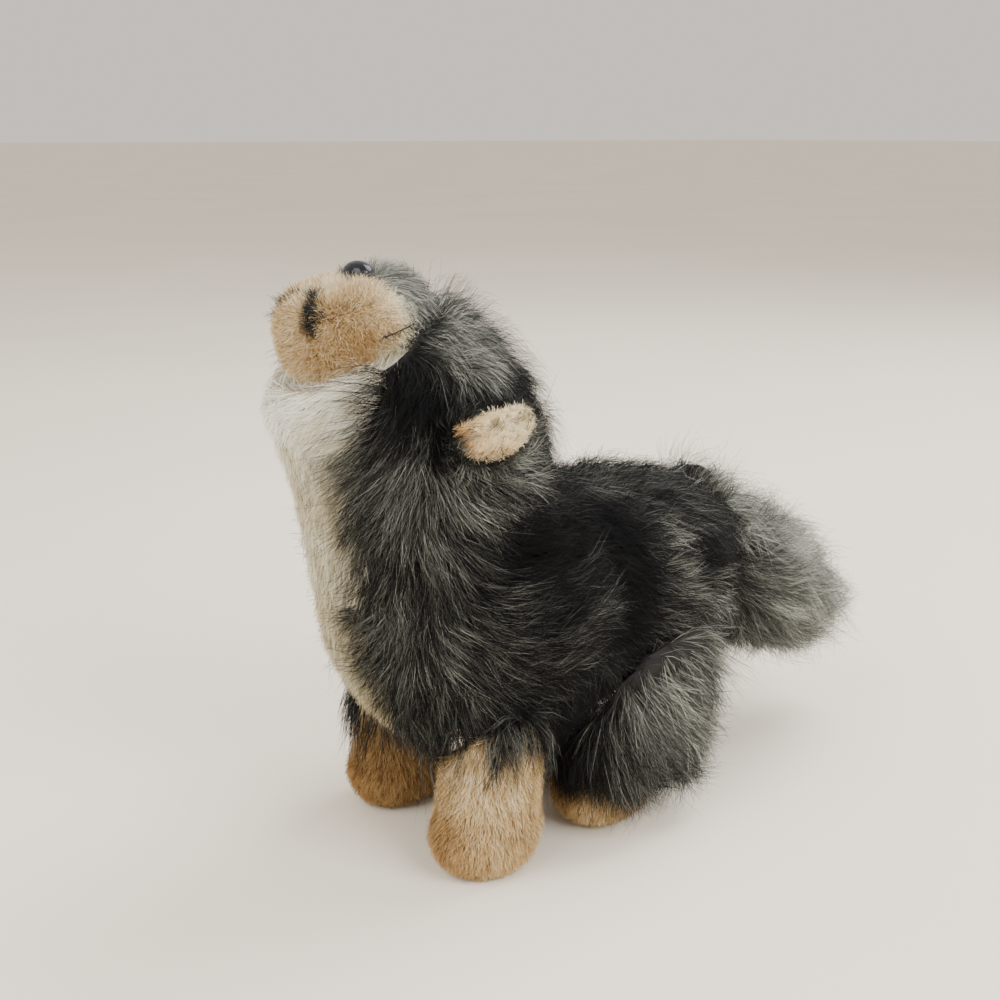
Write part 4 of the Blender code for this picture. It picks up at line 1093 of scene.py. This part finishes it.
# Ears: dark back that stands up round the pale puffy lining
earComb = [
    (37, -76, 131, 0.2, 0.3, 0.3, 2.4, 0.6, -0.05),
    (38, -70, 131, 0.3, 0.3, 0.3, 2.4, 0.7, 0.4),
    (39, -64, 136, 0.3, 0.2, 0.3, 2.2, 0.6, 0.75),
    (39, -57, 136, 0.3, -0.3, 0.2, 2, 0.4, 0.95),
    (41, -66, 129, 0.3, 0.3, 0.3, 2.4, 0.6, 0.4),
]
earBackComb = [
    (36, -77, 129, 0.4, 0.5, 0.4, 6, 3.5, 0.35),
    (39, -70, 127, 0.5, 0.3, 1, 8, 5.5, 0.5),
    (40, -60, 129, 0.5, 0.3, 1, 8, 5.5, 0.58),
    (38, -52, 133, 0.4, -0.2, 0.6, 6, 4, 0.46),
    (36, -62, 139, 0.3, 0.4, 0.2, 3, 0.5, 0.15),
]
for seed, side in enumerate(("left", "right")):
    title = side.capitalize()
    for pieceName, nodeName, cloth, pile, comb, slotName, settings in (
        ("earLining", f"ear_lining_{side}", creamCloth, earPile, earComb, "ear_lining",
         {**shortSettings, "density": 16.0e6, "hairWidth": 0.14 * mm, "hairSpread": 0.6, "tipSpread": 0.6 * mm,
          "toneNoise": 0.1, "toneSpread": 0.2}),
        ("earBack", f"ear_back_{side}", darkCloth, coatPile, earBackComb, "coat",
         {**coatSettings, "density": 6.0e6, "hairWidth": 0.16 * mm, "lockDensity": 200000.0, "lockLift": 0.6 * mm,
          "tipSpread": 1.0 * mm, "hairSpread": 0.5}),
    ):
        wholeSkin = outerSkin(nodeName, whole=True)
        backing(f"{pieceName}Cloth{title}", outerSkin(nodeName, whole=True, cuts=0), cloth, 0.3 * mm)
        beside = f"ear_back_{side}" if pieceName == "earLining" else f"ear_lining_{side}"
        dress(f"{pieceName}{title}", [nodeName], wholeSkin, pile, comb,
              styled(settings, 80 + seed, sideShare[side], slot=slotName), depth=0.2 * mm,
              cover=openTo(wholeSkin, f"head_coat_{side}", beside))
print("ears done")


# Nose: a polished bead with two shallow nostrils
bead = {"rings": 2, "nostrilRadius": 1.6 * mm, "nostrilDepth": 0.5 * mm, "nostrilApart": 2.6 * mm,
        "nostrilAhead": 0.8, "nostrilBelow": 0.2}
noseMesh = nodes["nose"].data.copy()
noseMesh.name = "noseBead"
noseMesh.materials.clear()
noseMesh.materials.append(beadPlastic)
bm = bmesh.new()
bm.from_mesh(noseMesh)
bmesh.ops.remove_doubles(bm, verts=bm.verts, dist=mergeGap)
bmesh.ops.subdivide_edges(bm, edges=bm.edges, cuts=bead["rings"], use_grid_fill=True, smooth=1.0)
beadPlaces = np.array([vert.co[:] for vert in bm.verts])
beadCentre = (beadPlaces.min(axis=0) + beadPlaces.max(axis=0)) / 2
beadHalf = (beadPlaces.max(axis=0) - beadPlaces.min(axis=0)) / 2
for vert in bm.verts:
    for sign in (-1, 1):
        nostril = Vector((sign * bead["nostrilApart"], beadCentre[1] - beadHalf[1] * bead["nostrilAhead"],
                          beadCentre[2] - beadHalf[2] * bead["nostrilBelow"]))
        gap = (vert.co - nostril).length
        if gap < bead["nostrilRadius"]:
            depth = bead["nostrilDepth"] * (1 - (gap / bead["nostrilRadius"]) ** 2)
            vert.co -= (vert.co - Vector(beadCentre)).normalized() * depth
bmesh.ops.recalc_face_normals(bm, faces=bm.faces)
bm.to_mesh(noseMesh)
bm.free()
noseMesh.shade_smooth()
settle(newObject("noseBead", noseMesh), ["nose"])

# Lashes: a few dark hairs along the shut eye
lashComb = [(19, -82, 158, 0.4, 0.3, -0.6, 2.2, 0.6, 0)]
threadSlack = 0.34 * mm  # the thread is pulled down into the pile by this much
for seed, side in enumerate(("left", "right")):
    lid = outerSkin(f"eyelid_{side}", whole=True, cuts=0)
    lid.name = f"eyelidThread{side.capitalize()}"
    pulled = placesOf(lid) - outwardOf(lid) * threadSlack
    dress(f"lashes{side.capitalize()}", [], lid, coatPile, lashComb,
          styled(shortSettings, 90 + seed, slot="thread", density=2.0e6, segments=2, hairWidth=0.14 * mm,
                 toneSpread=0.1), depth=0.05 * mm)
    lid.vertices.foreach_set("co", pulled.ravel())
    lid.materials.append(thread)
    settle(newObject(lid.name, lid), [f"eyelid_{side}"])
print("nose and eyes done")


# Stage, light and camera
view = {
    "place": (0.30246, -0.24598, 0.20717), "pitch": 16.0, "way": (-0.82298, 0.56806),
    "lens": 46.08, "sensor": 36.0, "floorSize": 60.0,
}
floorMaterial, floorTree, floorShader = newMaterial("paleFloor", Roughness=0.9)
floorGrain = node(floorTree, "ShaderNodeTexNoise", Vector=objectPlace(floorTree), Scale=3.0).outputs["Fac"]
finish(floorTree, floorShader, ramp(floorTree, floorGrain, [(0.3, (0.9, 0.82, 0.69)), (0.7, (0.93, 0.85, 0.72))]))
floorMesh = bpy.data.meshes.new("floor")
reachOut = view["floorSize"] / 2
corners = [(x * reachOut, y * reachOut, 0) for x, y in ((-1, -1), (1, -1), (1, 1), (-1, 1))]
floorMesh.from_pydata(corners, [], [(0, 1, 2, 3)])
floorMesh.materials.append(floorMaterial)
newObject("floor", floorMesh)

world = bpy.data.worlds.new("studio")
bpy.context.scene.world = world
world.use_nodes = True
world.node_tree.nodes["Background"].inputs["Color"].default_value = (0.9, 0.84, 0.77, 1)

lamps = {
    "backWindow": {"place": (-0.05, 0.7, 1.0), "size": 0.8, "power": 16.0, "colour": (0.97, 0.98, 1.0)},
    "rightWindow": {"place": (0.85, 0.15, 0.7), "size": 0.6, "power": 11.0, "colour": (0.98, 0.99, 1.0)},
    "frontWindow": {"place": (0.1, -0.85, 0.8), "size": 0.7, "power": 8.0, "colour": (1.0, 0.97, 0.93)},
}
litPlace = Vector((0, -0.02, 0.08))
for name, lamp in lamps.items():
    data = bpy.data.lights.new(name, "AREA")
    data.size = lamp["size"]
    data.energy = lamp["power"]
    data.color = lamp["colour"]
    made = newObject(name, data)
    made.location = lamp["place"]
    made.rotation_euler = (litPlace - made.location).to_track_quat("-Z", "Y").to_euler()

pitch = math.radians(view["pitch"])
lookWay = Vector((view["way"][0] * math.cos(pitch), view["way"][1] * math.cos(pitch), -math.sin(pitch)))
cameraData = bpy.data.cameras.new("camera")
cameraData.lens = view["lens"]
cameraData.sensor_width = view["sensor"]
camera = newObject("camera", cameraData)
camera.location = view["place"]
camera.rotation_euler = lookWay.to_track_quat("-Z", "Y").to_euler()
bpy.context.scene.camera = camera

print("triangles grown", sum(grown.values()), grown)
